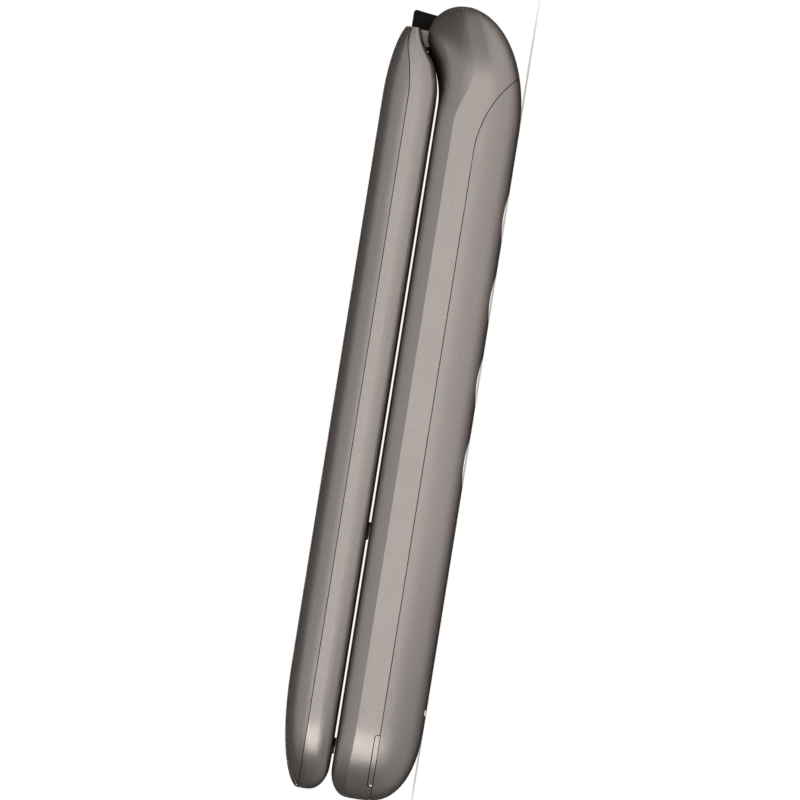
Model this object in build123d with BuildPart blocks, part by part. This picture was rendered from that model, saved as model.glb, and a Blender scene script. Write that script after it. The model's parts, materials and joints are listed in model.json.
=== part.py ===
"""Flip phone, shut, lying on its back. Millimetres.

+Z runs from the battery cover up through the lid, +Y towards the hinge, +X to the right-hand side.
The origin is on the resting plane, in the middle of the phone's outline.
"""

import os
from math import asin, cos, degrees, radians, sin, sqrt

from build123d import *

os.makedirs("parts", exist_ok=True)

# ---------------------------------------------------------------- driving dimensions
# Outline of the whole phone
LENGTH = 96.4
WIDTH = 48.4
BASE_THICKNESS = 10.2
LID_GAP = 0.25
LID_THICKNESS = 6.49
CORNER_RADIUS = 9.0

# Side profile of the base: rounded foot, shoulder behind the hinge
FOOT_BACK_LENGTH = 10.0
FOOT_BACK_DEPTH = 5.75
FOOT_BACK_POWER = 2.3
FOOT_FRONT_LENGTH = 3.5
FOOT_FRONT_DEPTH = 2.35
SHOULDER_LENGTH = 14.2
END_FLAT = 0.06

# Cross section of the base: flat band along the side, rounded towards the back and the front
BASE_BACK_ROUND = 4.7
BASE_EDGE_ROUND = 1.9
BASE_BAND_LOW = 0.492
BASE_BAND_HIGH = 0.786
HUMP_EDGE_ROUND = 4.6
HUMP_BAND_LOW = 0.30
HUMP_BAND_HIGH = 0.50
HUMP_START = 14.2
HUMP_FULL = 5.2
BACK_FULLNESS = 0.68
EDGE_FULLNESS = 0.5523
EDGE_LEAN = 0.35

# Hinge
KNUCKLE_RADIUS = 4.0
AXIS_DEPTH = 1.6
BLEND_RADIUS = 10.2
OPENING_ANGLE = 150.0
KNUCKLE_LENGTH = 11.3
BARREL_HALF_LENGTH = WIDTH / 2 - KNUCKLE_LENGTH
BARREL_RADIUS = 3.85
BARREL_END_GAP = 0.25
BARREL_CLEARANCE = 0.30
SWING_CLEARANCE = 0.20
HOLLOW_LIFT = 0.04
CARTRIDGE_RADIUS = 2.4
CARTRIDGE_LENGTH = 5.5
PIN_RADIUS = 1.2
PIN_SOCKET_DEPTH = 5.7
TUBE_RADIUS = 2.2
TUBE_WALL = 0.5
TUBE_SOCKET_DEPTH = 8.7
TUBE_REACH = 5.2
FLEX_RADIUS = 1.4
RUNNING_FIT = 0.05
SEAT_FIT = 0.02
BLOCK_HEIGHT = 6.22
BLOCK_REACH = 2.76
BLOCK_START = 0.55
BLOCK_CORNER = 0.4
BLOCK_SWING_ROOM = 1.7

# Side profile of the lid
LID_FOOT_OUTER_LENGTH = 14.1
LID_FOOT_OUTER_DEPTH = 3.42
LID_FOOT_INNER_LENGTH = 3.4
LID_FOOT_INNER_DEPTH = 2.35
LID_HEAD_OUTER_LENGTH = 9.4
LID_HEAD_OUTER_DEPTH = 2.42
LID_HEAD_OVERHANG = 0.45
LID_HEAD_START = 8.2
LID_FOOT_RECESS = 0.3
LID_HEAD_NARROWING = 2.5
LID_HEAD_CORNER_LENGTH = 9.5
LID_BACK_ROUND = 2.2
LID_EDGE_ROUND = 4.2
LID_BAND_LOW = 0.32
LID_BAND_HIGH = 0.527
LID_SEAM = 0.527
LID_HEAD_SEAM = 0.62

# Walls, seams and clearances
SIDE_WALL = 1.2
FACE_WALL = 1.0
BACK_WALL = 1.0
END_WALL = 2.4
SEAM_HEIGHT = 5.02
SEAM_SWEEP = 13.3
SEAM_SWEEP_START = 17.2
SEAM_GAP = 0.10
PIECE_GAP = 0.15
GROOVE_COUNT = 4
GROOVE_PITCH = 9.95
GROOVE_DEPTH = 0.3
GROOVE_RADIUS = 15.0
GROOVE_FIRST = 24.5
TONGUE_HEIGHT = 0.6
TONGUE_START = 1.9
TONGUE_LENGTH = 6.2
TONGUE_CORNER = 0.25
TONGUE_INNER_X = 12.0
TONGUE_LINE_DEPTH = 0.25
NOTCH_LENGTH = 0.9
NOTCH_FROM_FOOT = 11.65

# Layers of the base, counted down from the keypad face
BOARD_DEPTH = 1.5
BOARD_THICKNESS = 0.8
FRAME_DROP = 0.2
FRAME_THICKNESS = 0.8
DOME_SHEET_THICKNESS = 0.1
DOME_HEIGHT = 0.2
DOME_RADIUS = 2.2
MEMBRANE_LIFT = 0.1
MEMBRANE_THICKNESS = 0.2

# Keypad
KEYPAD_SIDE_MARGIN = 4.4
KEYPAD_FOOT_MARGIN = 8.2
KEYPAD_HEAD_MARGIN = 27.2
ROWS_IN_LENGTH = 7.625
KEY_SPACING_X = 1.0
KEY_SPACING_Y = 1.6
CALL_KEY_SQUASH = 1.0
KEY_CORNER = 1.2
KEY_SINK = 0.05
KEY_GAP = 0.12
KEY_CROWN = 0.25
FLANGE_LIP = 0.35
FLANGE_THICKNESS = 0.45
FLANGE_PLAY = 0.1
OK_RADIUS = 3.7
RING_GAP = 0.2

# Pieces inside the base
BATTERY_SIDE_MARGIN = 7.2
BATTERY_FOOT_MARGIN = 17.7
BATTERY_HEAD_MARGIN = 26.7
BATTERY_CORNER = 2.0
BAY_WALL = 1.0
BOARD_MARGIN = 3.0
BOARD_CORNER = 6.0
SCREW_HEAD_RADIUS = 1.4
SCREW_HEAD_HEIGHT = 0.7
SCREW_RADIUS = 0.7
BOSS_RADIUS = 1.8
SIM_WIDTH = 25.0
SIM_LENGTH = 15.0
SIM_THICKNESS = 0.76
SIM_WALL = 0.8
CAN_HEIGHT = 1.3
CAN_WALL = 0.2
USB_WIDTH = 8.0
USB_HEIGHT = 2.7
USB_DEPTH = 5.6
USB_WALL = 0.3
JACK_BORE = 1.3
JACK_SIZE = 5.0
JACK_HEIGHT = 4.6
JACK_LENGTH = 10.5
JACK_FROM_HEAD = 15.2
MICROPHONE_RADIUS = 2.0
MICROPHONE_HEIGHT = 1.4
SPEAKER_WIDTH = 15.0
SPEAKER_LENGTH = 11.0
SPEAKER_HEIGHT = 3.5
SPEAKER_SLOT_LENGTH = 8.0
SPEAKER_SLOT_PITCH = 1.7
MOTOR_RADIUS = 5.0
MOTOR_HEIGHT = 2.7
HEAD_PIECE_GAP = 1.1
SCREW_CLEARANCE = 0.6
ANTENNA_HEIGHT = 3.2

# Volume rocker and cover latch
ROCKER_LENGTH = 16.0
ROCKER_HEIGHT = 2.3
ROCKER_FROM_HEAD = 35.4
ROCKER_PLAY = 0.4
ROCKER_FLANGE = 0.5
ROCKER_PIVOT_RADIUS = 0.5
LATCH_WIDTH = 9.0
LATCH_LENGTH = 5.0
LATCH_TRAVEL = 1.0
LATCH_FROM_FOOT = 11.3
LATCH_SINK = 0.12

# Lid contents
WINDOW_SIDE_MARGIN = 5.7
WINDOW_FOOT_MARGIN = 16.9
WINDOW_HEAD_MARGIN = 15.2
WINDOW_THICKNESS = 0.5
WINDOW_CORNER = 2.5
DISPLAY_SIDE_BORDER = 1.5
DISPLAY_END_BORDER = 7.0
DISPLAY_THICKNESS = 1.7
VIEW_SIDE_BORDER = 1.5
VIEW_END_BORDER = 3.0
LID_BOARD_THICKNESS = 0.6
OUTER_WINDOW_SIDE_MARGIN = 10.7
OUTER_WINDOW_HEAD_MARGIN = 11.2
OUTER_WINDOW_FOOT_MARGIN = 48.2
OUTER_DISPLAY_BORDER = 1.5
OUTER_DISPLAY_LENGTH = 18.0
OUTER_VIEW_BORDER = 2.0
OUTER_VIEW_LENGTH = 15.0
OUTER_VIEW_SHIFT = 5.0
LENS_RADIUS = 2.4
LENS_SHIFT = 10.5
EARPIECE_LENGTH = 10.0
EARPIECE_WIDTH = 5.0
EARPIECE_MARGIN = 11.2
MAGNET_SIZE = 4.0
BUMPERS_FROM_FOOT = ((32.05, 1.9), (5.65, 1.2))
BUMPER_INSET = 3.0
BUMPER_WIDTH = 1.4
BUMPER_DEPTH = 0.5
BUMPER_REST_GAP = 0.03

# ---------------------------------------------------------------- places worked out from them
FOOT_Y = -LENGTH / 2
HEAD_Y = LENGTH / 2
AXIS_Y = HEAD_Y - KNUCKLE_RADIUS
AXIS_Z = BASE_THICKNESS - AXIS_DEPTH
SHOULDER_Y = HEAD_Y + END_FLAT - SHOULDER_LENGTH
BLEND_SPAN = sqrt((KNUCKLE_RADIUS + BLEND_RADIUS) ** 2 - (AXIS_DEPTH + BLEND_RADIUS) ** 2)
BLEND_START_Y = AXIS_Y - BLEND_SPAN
BLEND_SHARE = BLEND_RADIUS / (KNUCKLE_RADIUS + BLEND_RADIUS)
BLEND_END_Y = BLEND_START_Y + BLEND_SPAN * BLEND_SHARE
HUMP_START_Y = HEAD_Y - HUMP_START
HUMP_FULL_Y = HEAD_Y - HUMP_FULL

LID_BOTTOM = BASE_THICKNESS + LID_GAP
LID_TOP = LID_BOTTOM + LID_THICKNESS
LID_SEAM_Z = LID_BOTTOM + LID_SEAM * LID_THICKNESS
LID_FOOT_Y = FOOT_Y + LID_FOOT_RECESS
LID_HEAD_Y = AXIS_Y + LID_HEAD_OVERHANG

FACE_UNDER = BASE_THICKNESS - FACE_WALL
BOARD_TOP = FACE_UNDER - BOARD_DEPTH
BOARD_BOTTOM = BOARD_TOP - BOARD_THICKNESS
FRAME_TOP = BOARD_BOTTOM - FRAME_DROP
FRAME_BOTTOM = FRAME_TOP - FRAME_THICKNESS
DOME_SHEET_TOP = BOARD_TOP + DOME_SHEET_THICKNESS
DOME_TOP = DOME_SHEET_TOP + DOME_HEIGHT
MEMBRANE_BOTTOM = DOME_TOP + MEMBRANE_LIFT
MEMBRANE_TOP = MEMBRANE_BOTTOM + MEMBRANE_THICKNESS
KEY_TOP = BASE_THICKNESS - KEY_SINK
FLANGE_TOP = FACE_UNDER - FLANGE_PLAY
FLANGE_BOTTOM = FLANGE_TOP - FLANGE_THICKNESS

ROW_PITCH = (LENGTH - KEYPAD_FOOT_MARGIN - KEYPAD_HEAD_MARGIN) / ROWS_IN_LENGTH
COLUMN_PITCH = (WIDTH - 2 * KEYPAD_SIDE_MARGIN) / 3
KEY_WIDTH = COLUMN_PITCH - KEY_SPACING_X
KEY_HEIGHT = ROW_PITCH - KEY_SPACING_Y
KEYPAD_FOOT_Y = FOOT_Y + KEYPAD_FOOT_MARGIN
KEYPAD_HEAD_Y = HEAD_Y - KEYPAD_HEAD_MARGIN
ROW_Y = [KEYPAD_FOOT_Y + (row + 0.5) * ROW_PITCH for row in range(5)]
CALL_ROW_Y = ROW_Y[4] + 0.1 * ROW_PITCH
NAV_ZONE = 2.6 * ROW_PITCH
NAV_Y = KEYPAD_HEAD_Y - NAV_ZONE / 2
NAV_RADIUS = NAV_ZONE / 2 - 1.8
SIDE_KEY_X = (NAV_RADIUS + FLANGE_LIP + WIDTH / 2 - KEYPAD_SIDE_MARGIN) / 2
SIDE_KEY_WIDTH = WIDTH / 2 - KEYPAD_SIDE_MARGIN - NAV_RADIUS - FLANGE_LIP - 2 * KEY_SPACING_X
SIDE_KEY_HEIGHT = NAV_ZONE / 4
SIDE_KEY_SHIFT = NAV_ZONE / 4

CAVITY_FOOT_Y = FOOT_Y + END_WALL
CAVITY_HEAD_Y = AXIS_Y - KNUCKLE_RADIUS - 1.6
BATTERY_FOOT_Y = FOOT_Y + BATTERY_FOOT_MARGIN
BATTERY_HEAD_Y = HEAD_Y - BATTERY_HEAD_MARGIN
BATTERY_WIDTH = WIDTH - 2 * BATTERY_SIDE_MARGIN
BATTERY_BOTTOM = BACK_WALL + PIECE_GAP
BATTERY_TOP = FRAME_BOTTOM - PIECE_GAP
INNER_HALF_WIDTH = WIDTH / 2 - SIDE_WALL
BOARD_HALF_WIDTH = WIDTH / 2 - BOARD_MARGIN
BOARD_FOOT_Y = CAVITY_FOOT_Y + 1.4
BOARD_HEAD_Y = CAVITY_HEAD_Y - 0.9
BOARD_LENGTH = BOARD_HEAD_Y - BOARD_FOOT_Y
BOARD_CENTRE_Y = (BOARD_HEAD_Y + BOARD_FOOT_Y) / 2
CAN_FOOT_Y = KEYPAD_HEAD_Y + 4.5
CAN_HEAD_Y = BOARD_HEAD_Y - 1.2
FOOT_SCREW_X = WIDTH / 2 - 7.2
SCREW_PLACES = [
    (side * x, y)
    for side in (-1, 1)
    for x, y in ((FOOT_SCREW_X, BOARD_FOOT_Y + 2.4), (WIDTH / 2 - 4.2, KEYPAD_HEAD_Y + 2.2))
]
ANTENNA_WIDTH = 2 * (FOOT_SCREW_X - SCREW_HEAD_RADIUS - SCREW_CLEARANCE)
MICROPHONE_PLACE = (WIDTH / 2 - 14.7, BOARD_FOOT_Y + 2.4)
JACK_START = 0.9 - INNER_HALF_WIDTH
JACK_END = JACK_START + JACK_LENGTH
SPEAKER_X = JACK_END + HEAD_PIECE_GAP + SPEAKER_WIDTH / 2
MOTOR_X = SPEAKER_X + SPEAKER_WIDTH / 2 + 1.5 + MOTOR_RADIUS
JACK_Y = HEAD_Y - JACK_FROM_HEAD
SIDE_Z = (SEAM_HEIGHT + BASE_BAND_HIGH * BASE_THICKNESS) / 2
ROCKER_Y = HEAD_Y - ROCKER_FROM_HEAD
USB_Z = (BOARD_TOP + BOARD_BOTTOM) / 2 - 0.5
HEAD_ROOM_Y = (CAN_FOOT_Y + CAN_HEAD_Y) / 2
LATCH_Y = FOOT_Y + LATCH_FROM_FOOT
TONGUE_LOW_Y = FOOT_Y + TONGUE_START
TONGUE_HIGH_Y = TONGUE_LOW_Y + TONGUE_LENGTH

LID_FLOOR = LID_BOTTOM + FACE_WALL
LID_CEILING = LID_TOP - FACE_WALL
DISPLAY_BOTTOM = LID_FLOOR + 0.1
DISPLAY_TOP = DISPLAY_BOTTOM + DISPLAY_THICKNESS
LID_BOARD_BOTTOM = DISPLAY_TOP + 0.2
LID_BOARD_TOP = LID_BOARD_BOTTOM + LID_BOARD_THICKNESS
WINDOW_WIDTH = WIDTH - 2 * WINDOW_SIDE_MARGIN
WINDOW_FOOT_Y = LID_FOOT_Y + WINDOW_FOOT_MARGIN
WINDOW_HEAD_Y = AXIS_Y - WINDOW_HEAD_MARGIN
WINDOW_LENGTH = WINDOW_HEAD_Y - WINDOW_FOOT_Y
WINDOW_CENTRE = (WINDOW_HEAD_Y + WINDOW_FOOT_Y) / 2
DISPLAY_WIDTH = WINDOW_WIDTH - 2 * DISPLAY_SIDE_BORDER
DISPLAY_LENGTH = WINDOW_LENGTH - 2 * DISPLAY_END_BORDER
VIEW_WIDTH = DISPLAY_WIDTH - 2 * VIEW_SIDE_BORDER
VIEW_LENGTH = DISPLAY_LENGTH - 2 * VIEW_END_BORDER
OUTER_WINDOW_WIDTH = WIDTH - 2 * OUTER_WINDOW_SIDE_MARGIN
OUTER_WINDOW_HEAD_Y = AXIS_Y - OUTER_WINDOW_HEAD_MARGIN
OUTER_WINDOW_FOOT_Y = FOOT_Y + OUTER_WINDOW_FOOT_MARGIN
OUTER_WINDOW_LENGTH = OUTER_WINDOW_HEAD_Y - OUTER_WINDOW_FOOT_Y
OUTER_WINDOW_CENTRE = (OUTER_WINDOW_HEAD_Y + OUTER_WINDOW_FOOT_Y) / 2
OUTER_DISPLAY_WIDTH = OUTER_WINDOW_WIDTH - 2 * OUTER_DISPLAY_BORDER
OUTER_VIEW_WIDTH = OUTER_DISPLAY_WIDTH - 2 * OUTER_VIEW_BORDER
OUTER_VIEW_CENTRE = OUTER_WINDOW_CENTRE - OUTER_VIEW_SHIFT
LENS_CENTRE = OUTER_WINDOW_CENTRE + LENS_SHIFT
EARPIECE_CENTRE = AXIS_Y - EARPIECE_MARGIN
BUMPER_PLACES = [(FOOT_Y + y, length) for y, length in BUMPERS_FROM_FOOT]
LID_CAVITY_FOOT_Y = LID_FOOT_Y + END_WALL
LID_CAVITY_HEAD_Y = BLEND_START_Y + 1.2


# ---------------------------------------------------------------- small helpers
def unit_arc(u, power=2.0):
    """Height of a unit superellipse, at u from its centre."""
    return (1 - min(abs(u), 1.0) ** power) ** (1 / power)


def between(start, end, share):
    """Value that lies at a share of the way from start to end."""
    return start + (end - start) * share


def ease(share):
    """Smooth step from 0 to 1."""
    share = max(0.0, min(1.0, share))
    return share * share * (3 - 2 * share)


def block(low, high, mode=Mode.ADD):
    """Box between two corners, in the part that is being built."""
    size = [b - a for a, b in zip(low, high)]
    with Locations([tuple((a + b) / 2 for a, b in zip(low, high))]):
        Box(*size, mode=mode)


def slab(centre, width, length, corner, low, high, mode=Mode.ADD):
    """Flat plate with rounded corners, from height low to height high."""
    with BuildSketch(Plane.XY.offset(low)) as outline:
        with Locations(centre):
            RectangleRounded(width, length, corner)
    extrude(outline.sketch, amount=high - low, mode=mode)


def disc(centre, radius, low, high, mode=Mode.ADD):
    """Upright cylinder from height low to height high."""
    with BuildSketch(Plane.XY.offset(low)) as outline:
        with Locations(centre):
            Circle(radius)
    extrude(outline.sketch, amount=high - low, mode=mode)


def cross_bar(start, end, y, z, radius, mode=Mode.ADD):
    """Cylinder along X, from start to end."""
    with BuildSketch(Plane.YZ.offset(start)) as outline:
        with Locations((y, z)):
            Circle(radius)
    extrude(outline.sketch, amount=end - start, mode=mode)


# ---------------------------------------------------------------- outer shape of the base
def base_back(y):
    """Height of the back surface: rounded foot, flat, then the shoulder up to the hinge."""
    if y < FOOT_Y + FOOT_BACK_LENGTH:
        u = (FOOT_Y + FOOT_BACK_LENGTH - y) / FOOT_BACK_LENGTH
        return FOOT_BACK_DEPTH * (1 - unit_arc(u, FOOT_BACK_POWER))
    if y > SHOULDER_Y:
        return AXIS_Z * (1 - unit_arc((y - SHOULDER_Y) / SHOULDER_LENGTH))
    return 0.0


def base_front(y):
    """Height of the front: rounded foot, flat keypad face, concave blend, round knuckle."""
    if y < FOOT_Y + FOOT_FRONT_LENGTH:
        u = (FOOT_Y + FOOT_FRONT_LENGTH - y) / FOOT_FRONT_LENGTH
        return BASE_THICKNESS - FOOT_FRONT_DEPTH * (1 - unit_arc(u))
    if y > BLEND_END_Y:
        return AXIS_Z + sqrt((KNUCKLE_RADIUS + END_FLAT) ** 2 - (y - AXIS_Y) ** 2)
    if y > BLEND_START_Y:
        return BASE_THICKNESS + BLEND_RADIUS - sqrt(BLEND_RADIUS**2 - (y - BLEND_START_Y) ** 2)
    return BASE_THICKNESS


def base_half_width(y):
    """Half the width at a station, with round corners in plan at both ends."""
    into_corner = max(0.0, abs(y) - (LENGTH / 2 - CORNER_RADIUS))
    return WIDTH / 2 - CORNER_RADIUS * (1 - unit_arc(into_corner / CORNER_RADIUS))


def cross_section(y, half_width, low, high, band_low, band_high, back_round, edge_round, lean):
    """Closed outline across the phone: flat back, rounded side, flat band, rounded edge, flat front."""
    with BuildSketch(Plane.XZ.offset(-y)) as section:
        with BuildLine():
            Bezier(
                (half_width - back_round, low),
                (half_width - back_round * (1 - BACK_FULLNESS), low),
                (half_width, band_low - (band_low - low) * BACK_FULLNESS),
                (half_width, band_low),
            )
            Line((half_width, band_low), (half_width, band_high))
            Bezier(
                (half_width, band_high),
                (half_width - lean, band_high + (high - band_high) * EDGE_FULLNESS),
                (half_width - edge_round * (1 - EDGE_FULLNESS), high),
                (half_width - edge_round, high),
            )
            mirror(about=Plane.YZ)
            Line((back_round - half_width, low), (half_width - back_round, low))
            Line((half_width - edge_round, high), (edge_round - half_width, high))
        make_face()
    return section.sketch


def base_section(y, side_inset=0.0, back_inset=0.0, front_inset=0.0):
    """Cross section of the base at a station, or of the space a wall's thickness inside it."""
    low, high = base_back(y), base_front(y)
    hump = ease((y - HUMP_START_Y) / (HUMP_FULL_Y - HUMP_START_Y))
    return cross_section(
        y,
        base_half_width(y) - side_inset,
        low + back_inset,
        high - front_inset,
        between(low, high, between(BASE_BAND_LOW, HUMP_BAND_LOW, hump)),
        between(low, high, between(BASE_BAND_HIGH, HUMP_BAND_HIGH, hump)),
        BASE_BACK_ROUND,
        between(BASE_EDGE_ROUND, HUMP_EDGE_ROUND, hump),
        between(EDGE_LEAN, 0.0, hump),
    )


def foot_stations(start, length, count):
    """Stations that crowd towards the end of the foot."""
    return [start + length * (i / count) ** 2 for i in range(count + 1)]


def head_stations(start, end, count):
    """Stations that crowd towards the end of the head."""
    return [end - (end - start) * (1 - i / count) ** 2 for i in range(count + 1)]


# Each rounded end runs on for a little into the straight middle, so that it meets it smoothly
RUN_ON = 1.2
FOOT_END_Y = FOOT_Y + FOOT_BACK_LENGTH
BASE_FOOT = foot_stations(FOOT_Y, FOOT_BACK_LENGTH, 16) + [FOOT_END_Y + RUN_ON / 2, FOOT_END_Y + RUN_ON]
BASE_HEAD = (
    [HUMP_START_Y - RUN_ON, HUMP_START_Y - RUN_ON / 2]
    + [between(HUMP_START_Y, BLEND_END_Y, i / 7) for i in range(8)]
    + head_stations(BLEND_END_Y, HEAD_Y, 7)[1:]
)
with BuildPart() as base_envelope:
    loft([base_section(y) for y in BASE_FOOT])
    extrude(base_section(BASE_FOOT[-1]), amount=BASE_FOOT[-1] - BASE_HEAD[0])
    loft([base_section(y) for y in BASE_HEAD])

BASE_INSETS = (SIDE_WALL, BACK_WALL, FACE_WALL)
with BuildPart() as base_cavity:
    loft(
        [
            base_section(y, *BASE_INSETS)
            for y in foot_stations(CAVITY_FOOT_Y, FOOT_END_Y - CAVITY_FOOT_Y, 4)
        ]
    )
    extrude(base_section(FOOT_END_Y, *BASE_INSETS), amount=FOOT_END_Y - HUMP_START_Y)
    loft([base_section(y, *BASE_INSETS) for y in head_stations(HUMP_START_Y, CAVITY_HEAD_Y, 2)])


def cover_region(grow):
    """Everything behind the seam, as a solid wider than the phone; grow moves the seam outwards."""
    seam_z = SEAM_HEIGHT + grow
    sweep_y = HEAD_Y - SEAM_SWEEP_START
    sweep = SEAM_SWEEP + grow
    floor_z = seam_z - sweep
    tongue_low = TONGUE_LOW_Y - grow
    tongue_high = TONGUE_HIGH_Y + grow
    with BuildPart() as region:
        with BuildSketch(Plane.YZ.offset(-WIDTH)) as side:
            with BuildLine():
                Line((FOOT_Y - 1, floor_z), (FOOT_Y - 1, seam_z))
                Line((FOOT_Y - 1, seam_z), (sweep_y, seam_z))
                RadiusArc((sweep_y, seam_z), (sweep_y + sweep, floor_z), sweep)
                Line((sweep_y + sweep, floor_z), (FOOT_Y - 1, floor_z))
            make_face()
        extrude(amount=2 * WIDTH)
        for start in (-WIDTH, TONGUE_INNER_X):
            with BuildSketch(Plane.YZ.offset(start)) as tongue:
                with Locations(((tongue_low + tongue_high) / 2, seam_z)):
                    RectangleRounded(
                        tongue_high - tongue_low, 2 * TONGUE_HEIGHT, TONGUE_CORNER + grow
                    )
            extrude(amount=WIDTH - TONGUE_INNER_X)
    return region.part


# ---------------------------------------------------------------- swing of the lid
def base_reach(angle):
    """Radius from the hinge axis to the base's back, at degrees from straight up towards the head."""
    y_part, z_part = sin(radians(angle)), cos(radians(angle))
    offset = AXIS_Y - SHOULDER_Y
    a = (y_part / SHOULDER_LENGTH) ** 2 + (z_part / AXIS_Z) ** 2
    b = offset * y_part / SHOULDER_LENGTH**2
    c = (offset / SHOULDER_LENGTH) ** 2 - 1
    return (-b + sqrt(b * b - a * c)) / a


def swing_height(y):
    """Height at which the lid still clears the base's back at the end of its swing, at a station."""
    angle = 0.0
    for _ in range(20):
        reach = base_reach(angle + OPENING_ANGLE) + SWING_CLEARANCE
        angle = degrees(asin((y - AXIS_Y) / reach))
    return AXIS_Z + reach * cos(radians(angle)) + HOLLOW_LIFT


# Up to the end of the arc the lid's hollow follows the base's blend, and past the start of the
# swing it follows the path of the base's back. Between the two it runs straight on.
HOLLOW_ARC_END_Y = AXIS_Y - 0.9 * KNUCKLE_RADIUS
HOLLOW_SWING_START_Y = AXIS_Y - 0.58 * KNUCKLE_RADIUS


# ---------------------------------------------------------------- outer shape of the lid
def lid_inner(y):
    """Height of the face that lies against the keypad, hollowed round the knuckles at the head."""
    if y > HOLLOW_ARC_END_Y:
        return swing_height(y)
    if y > BLEND_START_Y:
        lid_blend = BLEND_RADIUS - LID_GAP
        return BASE_THICKNESS + BLEND_RADIUS - sqrt(lid_blend**2 - (y - BLEND_START_Y) ** 2)
    u = (LID_FOOT_Y + LID_FOOT_INNER_LENGTH - y) / LID_FOOT_INNER_LENGTH
    return LID_BOTTOM + LID_FOOT_INNER_DEPTH * (1 - unit_arc(max(0.0, u)))


def lid_outer(y):
    """Height of the outer face, rounded to both ends."""
    if y < LID_FOOT_Y + LID_FOOT_OUTER_LENGTH:
        u = (LID_FOOT_Y + LID_FOOT_OUTER_LENGTH - y) / (LID_FOOT_OUTER_LENGTH + LID_FOOT_RECESS)
        return LID_TOP - LID_FOOT_OUTER_DEPTH * (1 - unit_arc(u))
    u = (y - (AXIS_Y - LID_HEAD_START)) / LID_HEAD_OUTER_LENGTH
    return LID_TOP - LID_HEAD_OUTER_DEPTH * (1 - unit_arc(max(0.0, u)))


def lid_half_width(y):
    """Half the width of the lid, with round foot corners and a narrower head."""
    into_corner = max(0.0, LID_FOOT_Y + CORNER_RADIUS - y)
    into_head = max(0.0, y - (AXIS_Y - LID_HEAD_START)) / LID_HEAD_CORNER_LENGTH
    corner = CORNER_RADIUS * (1 - unit_arc(into_corner / CORNER_RADIUS))
    return WIDTH / 2 - corner - LID_HEAD_NARROWING * (1 - unit_arc(into_head))


def lid_section(y, side_inset=0.0, face_inset=0.0):
    """Cross section of the lid at a station, or of the space a wall's thickness inside it."""
    low, high = lid_inner(y), lid_outer(y)
    band_low = between(low, high, LID_BAND_LOW)
    band_high = between(low, high, LID_BAND_HIGH)
    half_width = lid_half_width(y) - side_inset
    return cross_section(
        y,
        half_width,
        low + face_inset,
        high - face_inset,
        band_low,
        band_high,
        LID_BACK_ROUND,
        LID_EDGE_ROUND,
        0.0,
    )


LID_FOOT_END_Y = LID_FOOT_Y + LID_FOOT_OUTER_LENGTH
LID_HEAD_START_Y = AXIS_Y - LID_HEAD_START
LID_HEAD_STATIONS = [between(BLEND_START_Y, HOLLOW_ARC_END_Y, i / 5) for i in range(6)] + [
    between(HOLLOW_SWING_START_Y, LID_HEAD_Y, i / 4) for i in range(5)
]
LID_FOOT = foot_stations(LID_FOOT_Y, LID_FOOT_OUTER_LENGTH, 16) + [
    LID_FOOT_END_Y + RUN_ON / 2,
    LID_FOOT_END_Y + RUN_ON,
]
LID_HEAD = [LID_HEAD_START_Y - RUN_ON, LID_HEAD_START_Y - RUN_ON / 2] + LID_HEAD_STATIONS
with BuildPart() as lid_envelope:
    loft([lid_section(y) for y in LID_FOOT])
    extrude(lid_section(LID_FOOT[-1]), amount=LID_FOOT[-1] - LID_HEAD[0])
    loft([lid_section(y) for y in LID_HEAD])

with BuildPart() as lid_cavity:
    loft(
        [
            lid_section(y, SIDE_WALL, FACE_WALL)
            for y in foot_stations(LID_CAVITY_FOOT_Y, LID_FOOT_END_Y - LID_CAVITY_FOOT_Y, 4)
        ]
    )
    extrude(
        lid_section(LID_FOOT_END_Y, SIDE_WALL, FACE_WALL),
        amount=LID_FOOT_END_Y - LID_CAVITY_HEAD_Y,
    )


# ---------------------------------------------------------------- cuts round the hinge
def centre_clearance():
    """Room in the base for the lid's barrel and the block that swings behind it."""
    half = BARREL_HALF_LENGTH + BARREL_END_GAP
    with BuildPart() as room:
        cross_bar(-half, half, AXIS_Y, AXIS_Z, BARREL_RADIUS + BARREL_CLEARANCE)
        block((-half, AXIS_Y - BARREL_CLEARANCE, AXIS_Z), (half, HEAD_Y + 1, LID_TOP))
        block((-half, AXIS_Y - BLOCK_SWING_ROOM, -1), (half, HEAD_Y + 1, AXIS_Z))
    return room.part


# ---------------------------------------------------------------- keypad layout
def key_places():
    """Name, centre, width and length of every key with a rectangular cap."""
    places = []
    names = (("star", "0", "hash"), ("7", "8", "9"), ("4", "5", "6"), ("1", "2", "3"))
    for row, row_names in enumerate(names):
        for column, name in enumerate(row_names):
            centre = ((column - 1) * COLUMN_PITCH, ROW_Y[row])
            places.append((f"key_{name}", centre, KEY_WIDTH, KEY_HEIGHT))
    for column, name in enumerate(("send", "clear", "end")):
        centre = ((column - 1) * COLUMN_PITCH, CALL_ROW_Y)
        places.append((f"key_{name}", centre, KEY_WIDTH, KEY_HEIGHT - CALL_KEY_SQUASH))
    for side, side_name in ((-1, "left"), (1, "right")):
        upper = (side * SIDE_KEY_X, NAV_Y + SIDE_KEY_SHIFT)
        lower = (side * SIDE_KEY_X, NAV_Y - SIDE_KEY_SHIFT)
        places.append((f"soft_key_{side_name}", upper, SIDE_KEY_WIDTH, SIDE_KEY_HEIGHT))
        places.append((f"side_key_{side_name}", lower, SIDE_KEY_WIDTH, SIDE_KEY_HEIGHT))
    return places


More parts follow.
